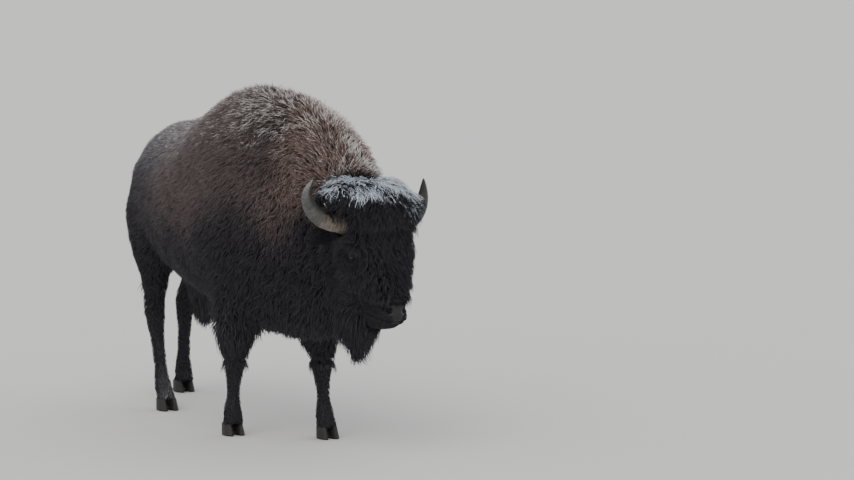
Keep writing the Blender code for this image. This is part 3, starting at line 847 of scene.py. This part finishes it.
def crown_frost(corners, roots, size, rng):
    """Share of the frost that each corner of a lock keeps: all of it off the crown, and on the crown only
    what lies open to the sky, in broken patches."""
    _, side, up = in_head(corners)
    uneven = np.repeat(ripple(roots, 0.06, 33) * 0.018 + rng.normal(0, 0.010, len(roots)), size)
    open_sky = eased(up + uneven + 0.105 * eased(side, 0.0, 0.18), 0.070, 0.175)
    open_sky *= 0.60 + 0.50 * np.repeat(eased(ripple(roots, 0.034, 34), -0.7, 0.5), size)
    return mixed(1.0, open_sky, np.repeat(zones(roots)["crown"], size))


def locks(name, rings, grown, roots, normals, places, rng):
    """One mesh of closed three-sided locks, with their shades, markings and UV patches."""
    path, sideways, upward, width, length = grown
    count, size = len(roots), rings * 3 + 1
    steps = np.arange(rings + 1) / rings
    corners = lock_corners(path, sideways, upward, width, steps).reshape(-1, 3)
    faces = (lock_faces(rings)[None] + (np.arange(count) * size)[:, None, None]).reshape(-1, 3)
    along = np.append(np.repeat(steps[:rings], 3), 1.0)
    across = np.append(np.tile((-0.5, 0.0, 0.5), rings), 0.0)
    patch = np.stack([across, along - 0.5], axis=1) * PATCH
    body = triangle_mesh(name, corners, faces, np.clip(places[:, None] + patch[None], 0, 1).reshape(-1, 2))

    own = rng.uniform(0, 1, count)
    strand = np.empty((count, size, 3))
    strand[..., 0] = across[None] * width[:, None]
    strand[..., 1] = along[None] * length[:, None]
    strand[..., 2] = own[:, None] * 7
    keep(body, along=np.tile(along, count), own=np.repeat(own, size))
    keep(body, strand=strand, root_place=np.repeat(roots, size, axis=0))
    marks = {mark: np.repeat(values, size) for mark, values in markings(roots, normals).items()}
    marks["frost"] *= crown_frost(corners, roots, size, rng)
    keep(body, **marks)
    return smooth(body)


CAPE_START, FLANK_START = -0.20, -0.66  # where hump and shoulder, and where the flank begin, going back
NECK_SWAY = 0.12  # how far the parting of left and right follows the neck to the left


def regions(hide):
    """Each triangle of the hide goes to one region of the coat."""
    zone = zones(hide.centres)
    x, y, z = hide.centres.T
    names = np.full(len(x), "right_rump", dtype="<U16")
    left = y > MIDLINE + np.interp(x, (HUMP_X, HUMP_X + 0.45), (0.0, NECK_SWAY))
    for word, side in (("left", left), ("right", ~left)):
        names[side & (x <= FLANK_START)] = f"{word}_rump"
        names[side & (x > FLANK_START)] = f"{word}_flank"
        names[side & (x > CAPE_START) & (z > HUMP_FOOT)] = f"{word}_hump"
        names[side & (x > CAPE_START) & (z <= HUMP_FOOT)] = f"{word}_shoulder"
    renamed = {"head": "face", "bare": "muzzle"}
    for word in ("thigh", "chap", "shank", "belly", "tail", "tail_tuft", "head", "bare", "crown", "beard"):
        names[zone[word] > 0.5] = renamed.get(word, word)
    return names


def make_coats(hide):
    """Every region's coat, with the slot that it takes."""
    names = regions(hide)
    made = []
    for seed, (region, coat) in enumerate(COATS.items(), COAT_SEED):
        chosen = np.flatnonzero(names == region)
        made.append((make_coat(f"{region}_coat", hide, coat, chosen, seed), coat.slot))
    return made


# ---------------------------------------------------------------- horns, ears, hooves and eyes
HORN_LINE = [  # ahead, outward and up along the middle of a horn
    (0.004, 0.085, -0.020),
    (0.000, 0.145, -0.020),
    (-0.010, 0.205, -0.012),
    (-0.028, 0.276, 0.006),
    (-0.043, 0.328, 0.044),
    (-0.052, 0.357, 0.090),
    (-0.055, 0.366, 0.130),
    (-0.046, 0.360, 0.172),
    (-0.031, 0.346, 0.212),
]


def along_line(points, line, side):
    """How far along a line each point's nearest place lies, and the line's whole length."""
    corners = np.array([HEAD_FRAME @ Vector((a, b * side, c)) for a, b, c in line])
    best = np.full(len(points), np.inf)
    found = np.zeros(len(points))
    start = 0.0
    for first, last in zip(corners[:-1], corners[1:]):
        run = last - first
        size = np.linalg.norm(run)
        share = np.clip((points - first) @ run / size**2, 0, 1)
        away = np.linalg.norm(points - first - share[:, None] * run, axis=1)
        closer = away < best
        best[closer] = away[closer]
        found[closer] = start + share[closer] * size
        start += size
    return found, start


HORN_CELL, HORN_SWELL = 0.0032, 0.0012
HORN_RING, HORN_FINE_RING = 0.0165, 0.0068  # from ring to ring
RING_HEIGHT, FINE_RING_HEIGHT, HORN_KNOBS = 0.0013, 0.0005, 0.0012


def make_horn(word, side):
    """A horn with a rough ringed base and a smooth tip."""
    horn = rounded_copy(f"{word}_horn", f"{word}_horn_sheath", HORN_CELL, HORN_SWELL)
    points = points_of(horn)
    along, whole = along_line(points, HORN_LINE, side)
    share = along / whole
    uneven = ripple(points, 0.05, 41) * 0.006
    rings = np.sin((along + uneven) * 2 * math.pi / HORN_RING)
    fine = np.sin((along + uneven * 1.6) * 2 * math.pi / HORN_FINE_RING)
    push = RING_HEIGHT * rings + FINE_RING_HEIGHT * fine + HORN_KNOBS * ripple(points, 0.035, 42)
    push *= eased(share, 0.62, 0.25)
    set_points(horn, points + normals_of(horn) * push[:, None])
    inner = eased(normals_of(horn) @ (ASIDE * -side + AHEAD * 0.2), -0.40, 0.25)
    keep(horn, along=share, rings=rings * 0.5 + 0.5, inner=inner)
    return smooth(horn)


EAR_CELL, EAR_SWELL, EAR_SCOOP = 0.0030, 0.0010, 0.015


def make_ear(word):
    """An ear scooped on its front face."""
    ear = rounded_copy(f"{word}_ear", f"{word}_ear_flap", EAR_CELL, EAR_SWELL)
    points = points_of(ear)
    normals = normals_of(ear)
    facing = eased(normals @ (AHEAD * 0.7 + UPWARD * 0.15), 0.1, 0.6)
    away = np.linalg.norm(points - points.mean(axis=0), axis=1)
    scoop = facing * eased(away / away.max(), 0.85, 0.10) * EAR_SCOOP
    set_points(ear, points - normals * scoop[:, None])
    keep(ear, **markings(points, normals))
    return smooth(ear)


def make_ear_coat(ear, word, side):
    """Short hair over an ear, longer than the flap so that it fringes its edge."""
    coat = Coat(3, slim=0.11, length=0.034, height=0.010, way=(-0.25, side, -0.30))
    hide = Hide(ear)
    return make_coat(f"{word}_ear_coat", hide, coat, np.arange(len(hide.triangles)), EAR_SEED + int(side))


FEET = [f"{side}_{end}" for side in SIDES for end in ("fore", "hind")]
DEWCLAW_RISE, DEWCLAW_APART, DEWCLAW_SIZE, DEWCLAW_BACK = 0.046, 0.023, 0.0135, 0.003
HOOF_EDGE, HOOF_CELL = 0.0022, 0.0024
SHARP = math.radians(35)  # an edge that turns by more than this is rounded
HOOF_BAND, BAND_DEPTH = 0.0085, 0.0006  # from growth band to growth band, and how far they stand out


def ball(name, radius, segments, rings):
    """A ball at the origin with its poles up and down."""
    bpy.ops.object.select_all(action="DESELECT")
    bpy.ops.mesh.primitive_uv_sphere_add(segments=segments, ring_count=rings, radius=radius)
    return named(bpy.context.object, name)


def make_dewclaws(foot, hide):
    """The two small claws behind a foot, half sunk in its skin and narrowing to blunt points."""
    centre = (middle(f"{foot}_inner_hoof") + middle(f"{foot}_outer_hoof")) / 2
    claws = []
    for side in SIDES.values():
        behind = Vector((centre.x - 0.4, centre.y + side * DEWCLAW_APART, HOOF_TOP + DEWCLAW_RISE))
        place, _, _, _ = hide.tree.ray_cast(behind, Vector((1.0, 0.0, 0.0)))
        claw = ball(f"{foot}_dewclaws", DEWCLAW_SIZE, 24, 18)
        points = points_of(claw)
        low = np.clip(-points[:, 2] / DEWCLAW_SIZE, 0, 1)
        points[:, :2] *= (1 - 0.45 * low**2)[:, None]  # narrower to its point
        points[:, 2] *= 1.5  # longer than it is wide
        points[:, 0] -= 0.35 * np.maximum(-points[:, 2], 0)  # its point swept back
        points[:, 0] *= 0.9
        set_points(claw, points + np.array(place) + BACK * DEWCLAW_BACK)
        claws.append(claw)
    return smooth(named(joined(claws), f"{foot}_dewclaws"))


def make_hoof(node):
    """A half hoof, rounded at its edges and grooved across by growth."""
    hoof = copy_of(node, f"{node}_shell")
    changed(hoof, "BEVEL", width=HOOF_EDGE, segments=3, limit_method="ANGLE", angle_limit=SHARP)
    relaxed(remeshed(hoof, HOOF_CELL), 2)
    points = points_of(hoof)
    normals = normals_of(hoof)
    sole = max(points[:, 2].min(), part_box(node)[0].z)
    wall = eased(np.abs(normals[:, 2]), 0.75, 0.45)
    bands = np.sin((points[:, 2] + 0.002 * ripple(points, 0.05, 51)) * 2 * math.pi / HOOF_BAND)
    points = points + normals * (wall * bands * BAND_DEPTH)[:, None]
    points[:, 2] = np.maximum(points[:, 2], sole)
    set_points(hoof, points)
    return smooth(hoof)


EYE_TURNED_AHEAD, EYE_TURNED_DOWN = 0.22, 0.04  # for 1 outward


def eye_axes(side):
    """Outward, forward and up at an eye, turned a little forward and down."""
    out = (HEAD_SIDE * side + HEAD_AHEAD * EYE_TURNED_AHEAD - HEAD_UP * EYE_TURNED_DOWN).normalized()
    up = (HEAD_UP - out * HEAD_UP.dot(out)).normalized()
    return out, out.cross(up) * side, up


def ball_round_eye(name, word, side, radius, segments, rings):
    """A ball with a pole looking outward, and its points forward, up and outward of its middle."""
    out, forward, up = eye_axes(side)
    centre = middle(f"{word}_eye")
    made = ball(name, radius, segments, rings)
    made.data.transform(Matrix((up.cross(out), up, out)).transposed().to_4x4())
    made.data.transform(Matrix.Translation(centre))
    return made, (points_of(made) - np.array(centre)) @ np.array([forward, up, out]).T


CORNEA_BULGE = 0.0012  # how far the front of the eye stands out of its ball


def make_eye(word, side):
    """A wet ball with its cornea standing out in front."""
    eye, local = ball_round_eye(f"{word}_eyeball", word, side, EYE_RADIUS, 48, 32)
    gaze = local / EYE_RADIUS
    bulge = eased(np.hypot(gaze[:, 0], gaze[:, 1]), 0.62, 0.0) * (gaze[:, 2] > 0) * CORNEA_BULGE
    set_points(eye, points_of(eye) + normals_of(eye) * bulge[:, None])
    keep(eye, gaze=gaze)
    return smooth(eye)


LID_RADIUS, LID_THICK = 0.0232, 0.0030
LID_FROM, LID_TO = 0.54, 1.47  # from the lids' rim to their foot, in radians round the ball


def lid_rim(around):
    """The almond opening, forward and up from the eye's middle; its front corner hangs lower."""
    forward = EYE_HALF_WIDTH * np.cos(around)
    rise = EYE_HALF_HEIGHT * np.sin(around) * (1 - 0.35 * np.cos(around) ** 2)
    return np.stack([forward, rise - 0.12 * forward], axis=1)


def on_ball(flat, radius, word, side):
    """Places on a ball round the eye, from forward and up across it."""
    out, forward, up = eye_axes(side)
    level = np.sqrt(np.maximum(radius**2 - np.sum(flat**2, axis=1), 0))
    local = np.column_stack([flat, level])
    return local @ np.array([forward, up, out]) + np.array(middle(f"{word}_eye"))


def make_lids(word, side):
    """Lids as a thick shell round the ball, open in an almond."""
    lids, local = ball_round_eye(f"{word}_lids", word, side, LID_RADIUS, 96, 64)
    polar = np.arccos(np.clip(local[:, 2] / LID_RADIUS, -1, 1))
    around = np.arctan2(local[:, 1], local[:, 0])
    foot = LID_RADIUS * math.sin(LID_TO) * np.stack([np.cos(around), np.sin(around)], axis=1)
    share = np.clip((polar - LID_FROM) / (LID_TO - LID_FROM), 0, 1)
    set_points(lids, on_ball(mixed(lid_rim(around), foot, share[:, None]), LID_RADIUS, word, side))
    hidden = (polar < LID_FROM - 0.001) | (polar > LID_TO + 0.001)
    with edited(lids) as mesh:
        gone = [vertex for vertex in mesh.verts if hidden[vertex.index]]
        bmesh.ops.delete(mesh, geom=gone, context="VERTS")
    changed(lids, "SOLIDIFY", thickness=LID_THICK, offset=0.6)
    changed(lids, "SUBSURF", levels=1, render_levels=1)
    return smooth(lids)


LASHES, LASH_RINGS = 46, 4
LASH_LENGTH, LASH_WIDTH, LASH_DROOP = 0.013, 0.0011, 0.45
LASH_ARC = (14, 166)  # from the first lash round the rim to the last, in degrees


def make_lashes(word, side):
    """Lashes along the upper lid, curving out and then down."""
    rng = np.random.default_rng(LASH_SEED + int(side))
    around = np.radians(np.linspace(*LASH_ARC, LASHES)) + rng.uniform(-0.03, 0.03, LASHES)
    roots = on_ball(lid_rim(around) * 1.04, LID_RADIUS + 0.0012, word, side)
    out, forward, up = (np.array(axis) for axis in eye_axes(side))
    fan = forward * (np.cos(around) * 0.45 - 0.10)[:, None]
    length = LASH_LENGTH * rng.uniform(0.7, 1.15, LASHES)
    steps = np.arange(LASH_RINGS + 1) / LASH_RINGS
    sweep = out * 0.9 + up * 0.30 + fan + rng.normal(0, 0.06, (LASHES, 3))
    path = roots[:, None] + steps[None, :, None] * (sweep * length[:, None])[:, None]
    path -= (up * LASH_DROOP)[None, None] * (steps**2)[None, :, None] * length[:, None, None]
    heading = unit(np.gradient(path, axis=1))
    sideways = unit(np.cross(heading, up))
    upward = np.cross(sideways, heading)
    places = np.stack([around / math.pi, np.full(LASHES, 0.5)], axis=1)
    grown = (path, sideways, upward, np.full(LASHES, LASH_WIDTH), length)
    return locks(f"{word}_lashes", LASH_RINGS, grown, roots, np.tile(out, (LASHES, 1)), places, rng)


# ---------------------------------------------------------------- finishes
class Value:
    """One output of a finish's nodes; arithmetic on it adds Math nodes."""

    def __init__(self, finish, socket):
        self.finish = finish
        self.socket = socket

    def math(self, operation, first, second, clamp=False):
        settings = {"operation": operation, "use_clamp": clamp}
        return self.finish.node("ShaderNodeMath", settings, {0: first, 1: second})

    def __add__(self, other):
        return self.math("ADD", self, other)

    def __sub__(self, other):
        return self.math("SUBTRACT", self, other)

    def __mul__(self, other):
        return self.math("MULTIPLY", self, other)

    def __rsub__(self, other):
        return self.math("SUBTRACT", other, self)

    __radd__ = __add__
    __rmul__ = __mul__

    def held(self):
        """The value kept between 0 and 1."""
        return self.math("ADD", self, 0.0, clamp=True)


class Finish:
    """A material being made for one of the animal's surfaces."""

    def __init__(self, name, **constants):
        self.material = bpy.data.materials.new(name)
        self.material.use_nodes = True
        self.tree = self.material.node_tree
        self.shader = self.tree.nodes["Principled BSDF"]
        for key, value in constants.items():
            self.shader.inputs[key.replace("_", " ")].default_value = value

    def node(self, kind, settings=None, inputs=None, output=0):
        made = self.tree.nodes.new(kind)
        for key, value in (settings or {}).items():
            setattr(made, key, value)
        for key, value in (inputs or {}).items():
            self.plug(made.inputs[key], value)
        return Value(self, made.outputs[output])

    def plug(self, socket, value):
        if isinstance(value, Value):
            self.tree.links.new(value.socket, socket)
        elif isinstance(value, tuple) and socket.type == "RGBA":
            socket.default_value = (*value, 1.0)
        else:
            socket.default_value = value

    def stored(self, name, output="Fac"):
        return self.node("ShaderNodeAttribute", {"attribute_name": name}, output=output)

    def mapped(self, vector, stretch):
        return self.node("ShaderNodeMapping", None, {"Vector": vector, "Scale": stretch})

    def place(self, stretch=(1, 1, 1)):
        """Object coordinates, stretched."""
        return self.mapped(self.node("ShaderNodeTexCoord", output="Object"), stretch)

    def noise(self, vector, scale, detail=3.0, roughness=0.55):
        inputs = {"Vector": vector, "Scale": scale, "Detail": detail, "Roughness": roughness}
        return self.node("ShaderNodeTexNoise", None, inputs)

    def reach(self, vector, stretch):
        """Length of a vector, stretched."""
        inputs = {0: vector, 1: stretch}
        stretched = self.node("ShaderNodeVectorMath", {"operation": "MULTIPLY"}, inputs)
        return self.node("ShaderNodeVectorMath", {"operation": "LENGTH"}, {0: stretched}, output="Value")

    def rise(self, value, low, high):
        """0 at low, 1 at high, smooth between."""
        inputs = {"Value": value, "From Min": low, "From Max": high}
        return self.node("ShaderNodeMapRange", {"interpolation_type": "SMOOTHSTEP"}, inputs)

    def blend(self, share, first, second, kind="MIX"):
        """A colour between two colours."""
        settings = {"data_type": "RGBA", "blend_type": kind}
        return self.node("ShaderNodeMix", settings, {0: share, 6: first, 7: second}, output=2)

    def shaded(self, colour, strength):
        """A colour times a number."""
        grey = self.node("ShaderNodeCombineColor", None, {0: strength, 1: strength, 2: strength})
        return self.blend(1.0, colour, grey, "MULTIPLY")

    def looks(self, colour, roughness=None):
        """Set the colour of the surface and how rough it is."""
        self.plug(self.shader.inputs["Base Color"], colour)
        if roughness is not None:
            self.plug(self.shader.inputs["Roughness"], roughness)

    def bump(self, height, strength, distance):
        inputs = {"Height": height, "Strength": strength, "Distance": distance}
        self.plug(self.shader.inputs["Normal"], self.node("ShaderNodeBump", None, inputs))

    def on(self, body):
        body.data.materials.clear()
        body.data.materials.append(self.material)
        return body


# Colours at the root and at the tip of the hair.
FLANK_HAIR = (0.027, 0.0250, 0.0282), (0.116, 0.107, 0.121)
CAPE_HAIR = (0.062, 0.044, 0.039), (0.326, 0.234, 0.203)
DARK_HAIR = (0.0095, 0.0092, 0.0112), (0.047, 0.045, 0.056)
FROST = (0.83, 0.91, 1.0)
WARM_FROST = (0.76, 0.71, 0.68)  # where brown hair shines through it
# Snow dust on the rump's top, with painted sheen in it.
DUST_AND_SHEEN = (0.66, 0.65, 0.68)

# Darkest and lightest shade of every other surface.
NOSE_PAD = (0.006, 0.006, 0.007), (0.016, 0.016, 0.018)
HORN_BASE = (0.098, 0.076, 0.060), (0.245, 0.205, 0.168)
HORN_SHAFT = (0.044, 0.045, 0.042), (0.100, 0.102, 0.096)
HORN_END = (0.110, 0.112, 0.106), (0.220, 0.224, 0.216)
HORN_INSIDE = (0.016, 0.0145, 0.013)
HOOF = (0.008, 0.0075, 0.0075), (0.034, 0.031, 0.028)
LID_SKIN = (0.008, 0.007, 0.008), (0.030, 0.026, 0.026)
IRIS = (0.009, 0.0045, 0.003), (0.030, 0.0155, 0.009)
EYE_WHITE = (0.016, 0.010, 0.009), (0.045, 0.035, 0.033)
PUPIL = (0.003, 0.003, 0.004)


def coat_colour(finish, tip, place, own):
    """Brown flank, red-brown cape and near-black head and legs, lighter to the tips."""
    colour = finish.blend(tip, *FLANK_HAIR)
    colour = finish.blend(finish.stored("cape"), colour, finish.blend(tip, *CAPE_HAIR))
    colour = finish.blend(finish.stored("dark"), colour, finish.blend(tip, *DARK_HAIR))
    patches = finish.noise(place, 3.2, 3.0)
    colour = finish.shaded(colour, 0.62 + patches * 0.55 + own * 0.35)
    # Tips lighten towards the dust colour: snow dust with a painted sheen on the rump's top.
    return finish.blend(finish.stored("dust") * tip * (0.40 + own * 1.1), colour, DUST_AND_SHEEN)


def fur_finish():
    """Locks: dark roots, lighter tips, fine strands along them, painted shade across their crimp and
    between the strands, and frost on the tips that catch it.
    """
    finish = Finish("fur", Specular_IOR_Level=0.22)
    along, own = finish.stored("along"), finish.stored("own")
    place = finish.stored("root_place", "Vector")
    strand = finish.stored("strand", "Vector")
    strands = finish.noise(finish.mapped(strand, (900, 34, 1)), 1.0, 2.0)
    crimp_and_curl_shade = finish.rise(finish.noise(finish.mapped(strand, (240, 85, 1)), 1.0, 1.0), 0.32, 0.68)
    tip = (finish.rise(along, 0.05, 1.0) * 0.85 + strands * 0.45 - 0.15).held()
    # Painted shade: the colour darkens between the strands and across each lock's crimp; the strands also
    # vary the hair's own tone.
    colour = finish.shaded(coat_colour(finish, tip, place, own), 0.52 + strands * 0.50 + crimp_and_curl_shade * 0.46)
    flecks = finish.rise(finish.noise(place, 32.0, 3.0, 0.6), 0.32, 0.66)
    load = finish.stored("frost") * (0.62 + own * 0.55) * (0.62 + flecks * 0.62) * 1.12
    caught = finish.rise(along * 0.7 + crimp_and_curl_shade * 0.36 + strands * 0.3, 1.40 - load, 1.66 - load)
    cold = finish.blend(finish.stored("dark"), WARM_FROST, FROST)
    # Painted shade on the frost as well, darker between the strands and across the crimp.
    cold = finish.shaded(cold, 0.56 + crimp_and_curl_shade * 0.34 + strands * 0.54)
    finish.looks(finish.blend(caught * 0.88, colour, cold), 0.68 + caught * 0.20)
    finish.bump(strands, 0.7, 0.0014)
    return finish


def hide_finish():
    """The hide under the coat: flat short hair in fine streaks, and the wet pebbled nose pad."""
    finish = Finish("hide", Specular_IOR_Level=0.4)
    place = finish.place()
    streaks = finish.noise(finish.place((1.0, 1.0, 0.16)), 220.0, 3.0)
    broad = finish.noise(place, 22.0, 4.0)
    pad = finish.rise(finish.stored("pad"), 0.3, 0.7)
    tip = (streaks * 0.6 + broad * 0.25 - 0.10).held()
    colour = finish.blend(pad, coat_colour(finish, tip, place, streaks), finish.blend(broad, *NOSE_PAD))
    settings = {"feature": "DISTANCE_TO_EDGE"}
    pebbles = finish.node("ShaderNodeTexVoronoi", settings, {"Vector": place, "Scale": 260.0})
    pebbles = finish.rise(pebbles, 0.0, 0.35)
    finish.looks(colour, 0.74 - pad * 0.38 + broad * 0.1)
    finish.bump(streaks * (1 - pad) + pebbles * pad * 0.5, 0.6, 0.0015)
    return finish


def horn_finish():
    """Grey horn, tan and scuffed at its base, dark inside its bend and pale at the tip."""
    finish = Finish("horn", Specular_IOR_Level=0.5)
    place = finish.place()
    along, rings = finish.stored("along"), finish.stored("rings")
    mottle = finish.noise(place, 38.0, 5.0, 0.65)
    fibre = finish.noise(place, 160.0, 3.0)
    smudges = finish.rise(finish.noise(place, 17.0, 3.0), 0.38, 0.62)
    base, shaft, end = (finish.blend(mottle, *shades) for shades in (HORN_BASE, HORN_SHAFT, HORN_END))
    colour = finish.blend(finish.rise(along, 0.30, 0.62), base, shaft)
    colour = finish.blend(finish.rise(along, 0.70, 0.96), colour, end)
    shade = finish.stored("inner") * finish.rise(along, 0.35, 0.60)
    colour = finish.blend(shade * 0.9, colour, HORN_INSIDE)
    # Lighter on the crests of the horn's rings and darker in the grooves between them, with fibre and
    # smudges over it.
    ring_and_smudge_tone = 0.50 + rings * 0.28 + fibre * 0.25 + smudges * 0.42
    finish.looks(finish.shaded(colour, ring_and_smudge_tone), 0.46 + mottle * 0.22)
    finish.bump(mottle * 0.6 + fibre * 0.4, 0.35, 0.0010)
    return finish


def hoof_finish():
    """Near-black horn with paler growth bands and dust on it."""
    finish = Finish("hoof", Specular_IOR_Level=0.45)
    bands = finish.noise(finish.place((0.3, 0.3, 6.0)), 40.0, 4.0)
    dust = finish.noise(finish.place(), 30.0, 4.0)
    finish.looks(finish.shaded(finish.blend(bands, *HOOF), 0.75 + dust * 0.6), 0.42 + dust * 0.3)
    finish.bump(bands, 0.4, 0.0010)
    return finish


def lid_finish():
    """Bare dark lid skin, creased."""
    finish = Finish("lid_skin", Specular_IOR_Level=0.5)
    creases = finish.noise(finish.place((1.0, 1.0, 2.6)), 170.0, 4.0)
    finish.looks(finish.blend(creases, *LID_SKIN), 0.34 + creases * 0.25)
    finish.bump(creases, 0.5, 0.0008)
    return finish


def eye_finish():
    """Deep brown iris with a darker ring round it, a wide level pupil and a dark brownish white, all wet.
    """
    finish = Finish("eye", Roughness=0.12, Specular_IOR_Level=0.30, Coat_Weight=0.35, Coat_Roughness=0.03)
    gaze = finish.stored("gaze", "Vector")
    fibres = finish.noise(finish.mapped(gaze, (9.0, 9.0, 1.0)), 2.0, 3.0)
    iris, white = finish.blend(fibres, *IRIS), finish.blend(fibres, *EYE_WHITE)
    reach, slit = finish.reach(gaze, (1.0, 1.0, 0.0)), finish.reach(gaze, (0.62, 1.25, 0.0))
    colour = finish.blend(finish.rise(reach, 0.66, 0.74), iris, white)
    colour = finish.blend(finish.rise(reach, 0.56, 0.64), colour, finish.shaded(colour, 0.4))
    finish.looks(finish.blend(finish.rise(slit, 0.28, 0.24), colour, PUPIL))
    return finish


# ---------------------------------------------------------------- making and declaring
def declare(body, slot, *nodes):
    """Ride a piece on the animal's one body and hide the CAD nodes it stands for; slot is not used."""
    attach(body, "root")
    if nodes:
        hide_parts(*nodes)


def make_animal():
    """Every piece of the bison in its finish."""
    fur, hide_look, horn_look = fur_finish(), hide_finish(), horn_finish()
    hoof_look, lid_look, eye_look = hoof_finish(), lid_finish(), eye_finish()
    hide = hide_look.on(make_hide())
    skin = Hide(hide)
    declare(hide, "coat_brown", *FLESH)
    for body, slot in make_coats(skin):
        declare(fur.on(body), slot)
    for word, side in SIDES.items():
        declare(horn_look.on(make_horn(word, side)), "horn", f"{word}_horn")
        ear = hide_look.on(make_ear(word))
        declare(ear, "coat_dark", f"{word}_ear")
        declare(fur.on(make_ear_coat(ear, word, side)), "coat_dark")
        declare(eye_look.on(make_eye(word, side)), "eye", f"{word}_eye")
        declare(lid_look.on(make_lids(word, side)), "muzzle_skin")
        declare(fur.on(make_lashes(word, side)), "coat_dark")
    for node in HOOVES:
        declare(hoof_look.on(make_hoof(node)), "hoof", node)
    for foot in FEET:
        declare(hoof_look.on(make_dewclaws(foot, skin)), "hoof")


LAMPS = (  # name, place that it shines from, strength, width of its light in degrees, colour
    ("key", (6.0, -5.0, 9.0), 0.92, 50.0, (1.0, 0.985, 0.96)),
    ("fill", (-6.0, 7.0, 8.0), 0.45, 70.0, (0.93, 0.96, 1.0)),
)
FLOOR_SIZE, FLOOR_COLOUR = 700, (0.74, 0.725, 0.705, 1.0)
SKY_COLOUR, SKY_STRENGTH = (0.92, 0.93, 0.95, 1.0), 0.90


def make_stage():
    """A wide pale floor, a pale sky and soft studio light."""
    bpy.ops.object.select_all(action="DESELECT")
    bpy.ops.mesh.primitive_plane_add(size=FLOOR_SIZE)
    floor = bpy.context.object
    floor.name = "floor"
    Finish("floor", Base_Color=FLOOR_COLOUR, Roughness=0.95, Specular_IOR_Level=0.0).on(floor)
    world = bpy.data.worlds.new("pale_room")
    world.use_nodes = True
    background = world.node_tree.nodes["Background"]
    background.inputs["Color"].default_value = SKY_COLOUR
    background.inputs["Strength"].default_value = SKY_STRENGTH
    bpy.context.scene.world = world
    for name, place, power, spread, colour in LAMPS:
        bpy.ops.object.light_add(type="SUN", location=place)
        lamp = bpy.context.object
        lamp.name = name
        lamp.data.angle = math.radians(spread)
        lamp.data.energy = power
        lamp.data.color = colour
        lamp.rotation_mode = "QUATERNION"
        lamp.rotation_quaternion = (-Vector(place)).to_track_quat("-Z", "Y")


CAMERA_AROUND, CAMERA_RISE, CAMERA_AWAY = math.radians(66.0), math.radians(5.5), 30.0
CAMERA_LENS = 241.6
CAMERA_CLIP_END = 1000.0
AIM_RIGHT, AIM_DOWN = 0.822, 0.801  # where the camera looks, from the top of the hump
HUMP_PEAK = Vector((HUMP_X + 0.026, MIDLINE, HUMP_TOP - 0.007))


def make_camera():
    """A long lens far off the front right quarter, aimed to the right of the hump and below it."""
    flat = math.cos(CAMERA_RISE)
    back = Vector((math.sin(CAMERA_AROUND) * flat, -math.cos(CAMERA_AROUND) * flat, math.sin(CAMERA_RISE)))
    level = (-back).to_track_quat("-Z", "Y")
    place = HUMP_PEAK + back * CAMERA_AWAY
    aim = HUMP_PEAK + level @ Vector((AIM_RIGHT, -AIM_DOWN, 0.0))
    bpy.ops.object.camera_add(location=place)
    camera = bpy.context.object
    camera.rotation_mode = "QUATERNION"
    camera.rotation_quaternion = (aim - place).to_track_quat("-Z", "Y")
    camera.data.lens = CAMERA_LENS
    camera.data.clip_end = CAMERA_CLIP_END
    bpy.context.scene.camera = camera


make_camera()
make_stage()
make_animal()
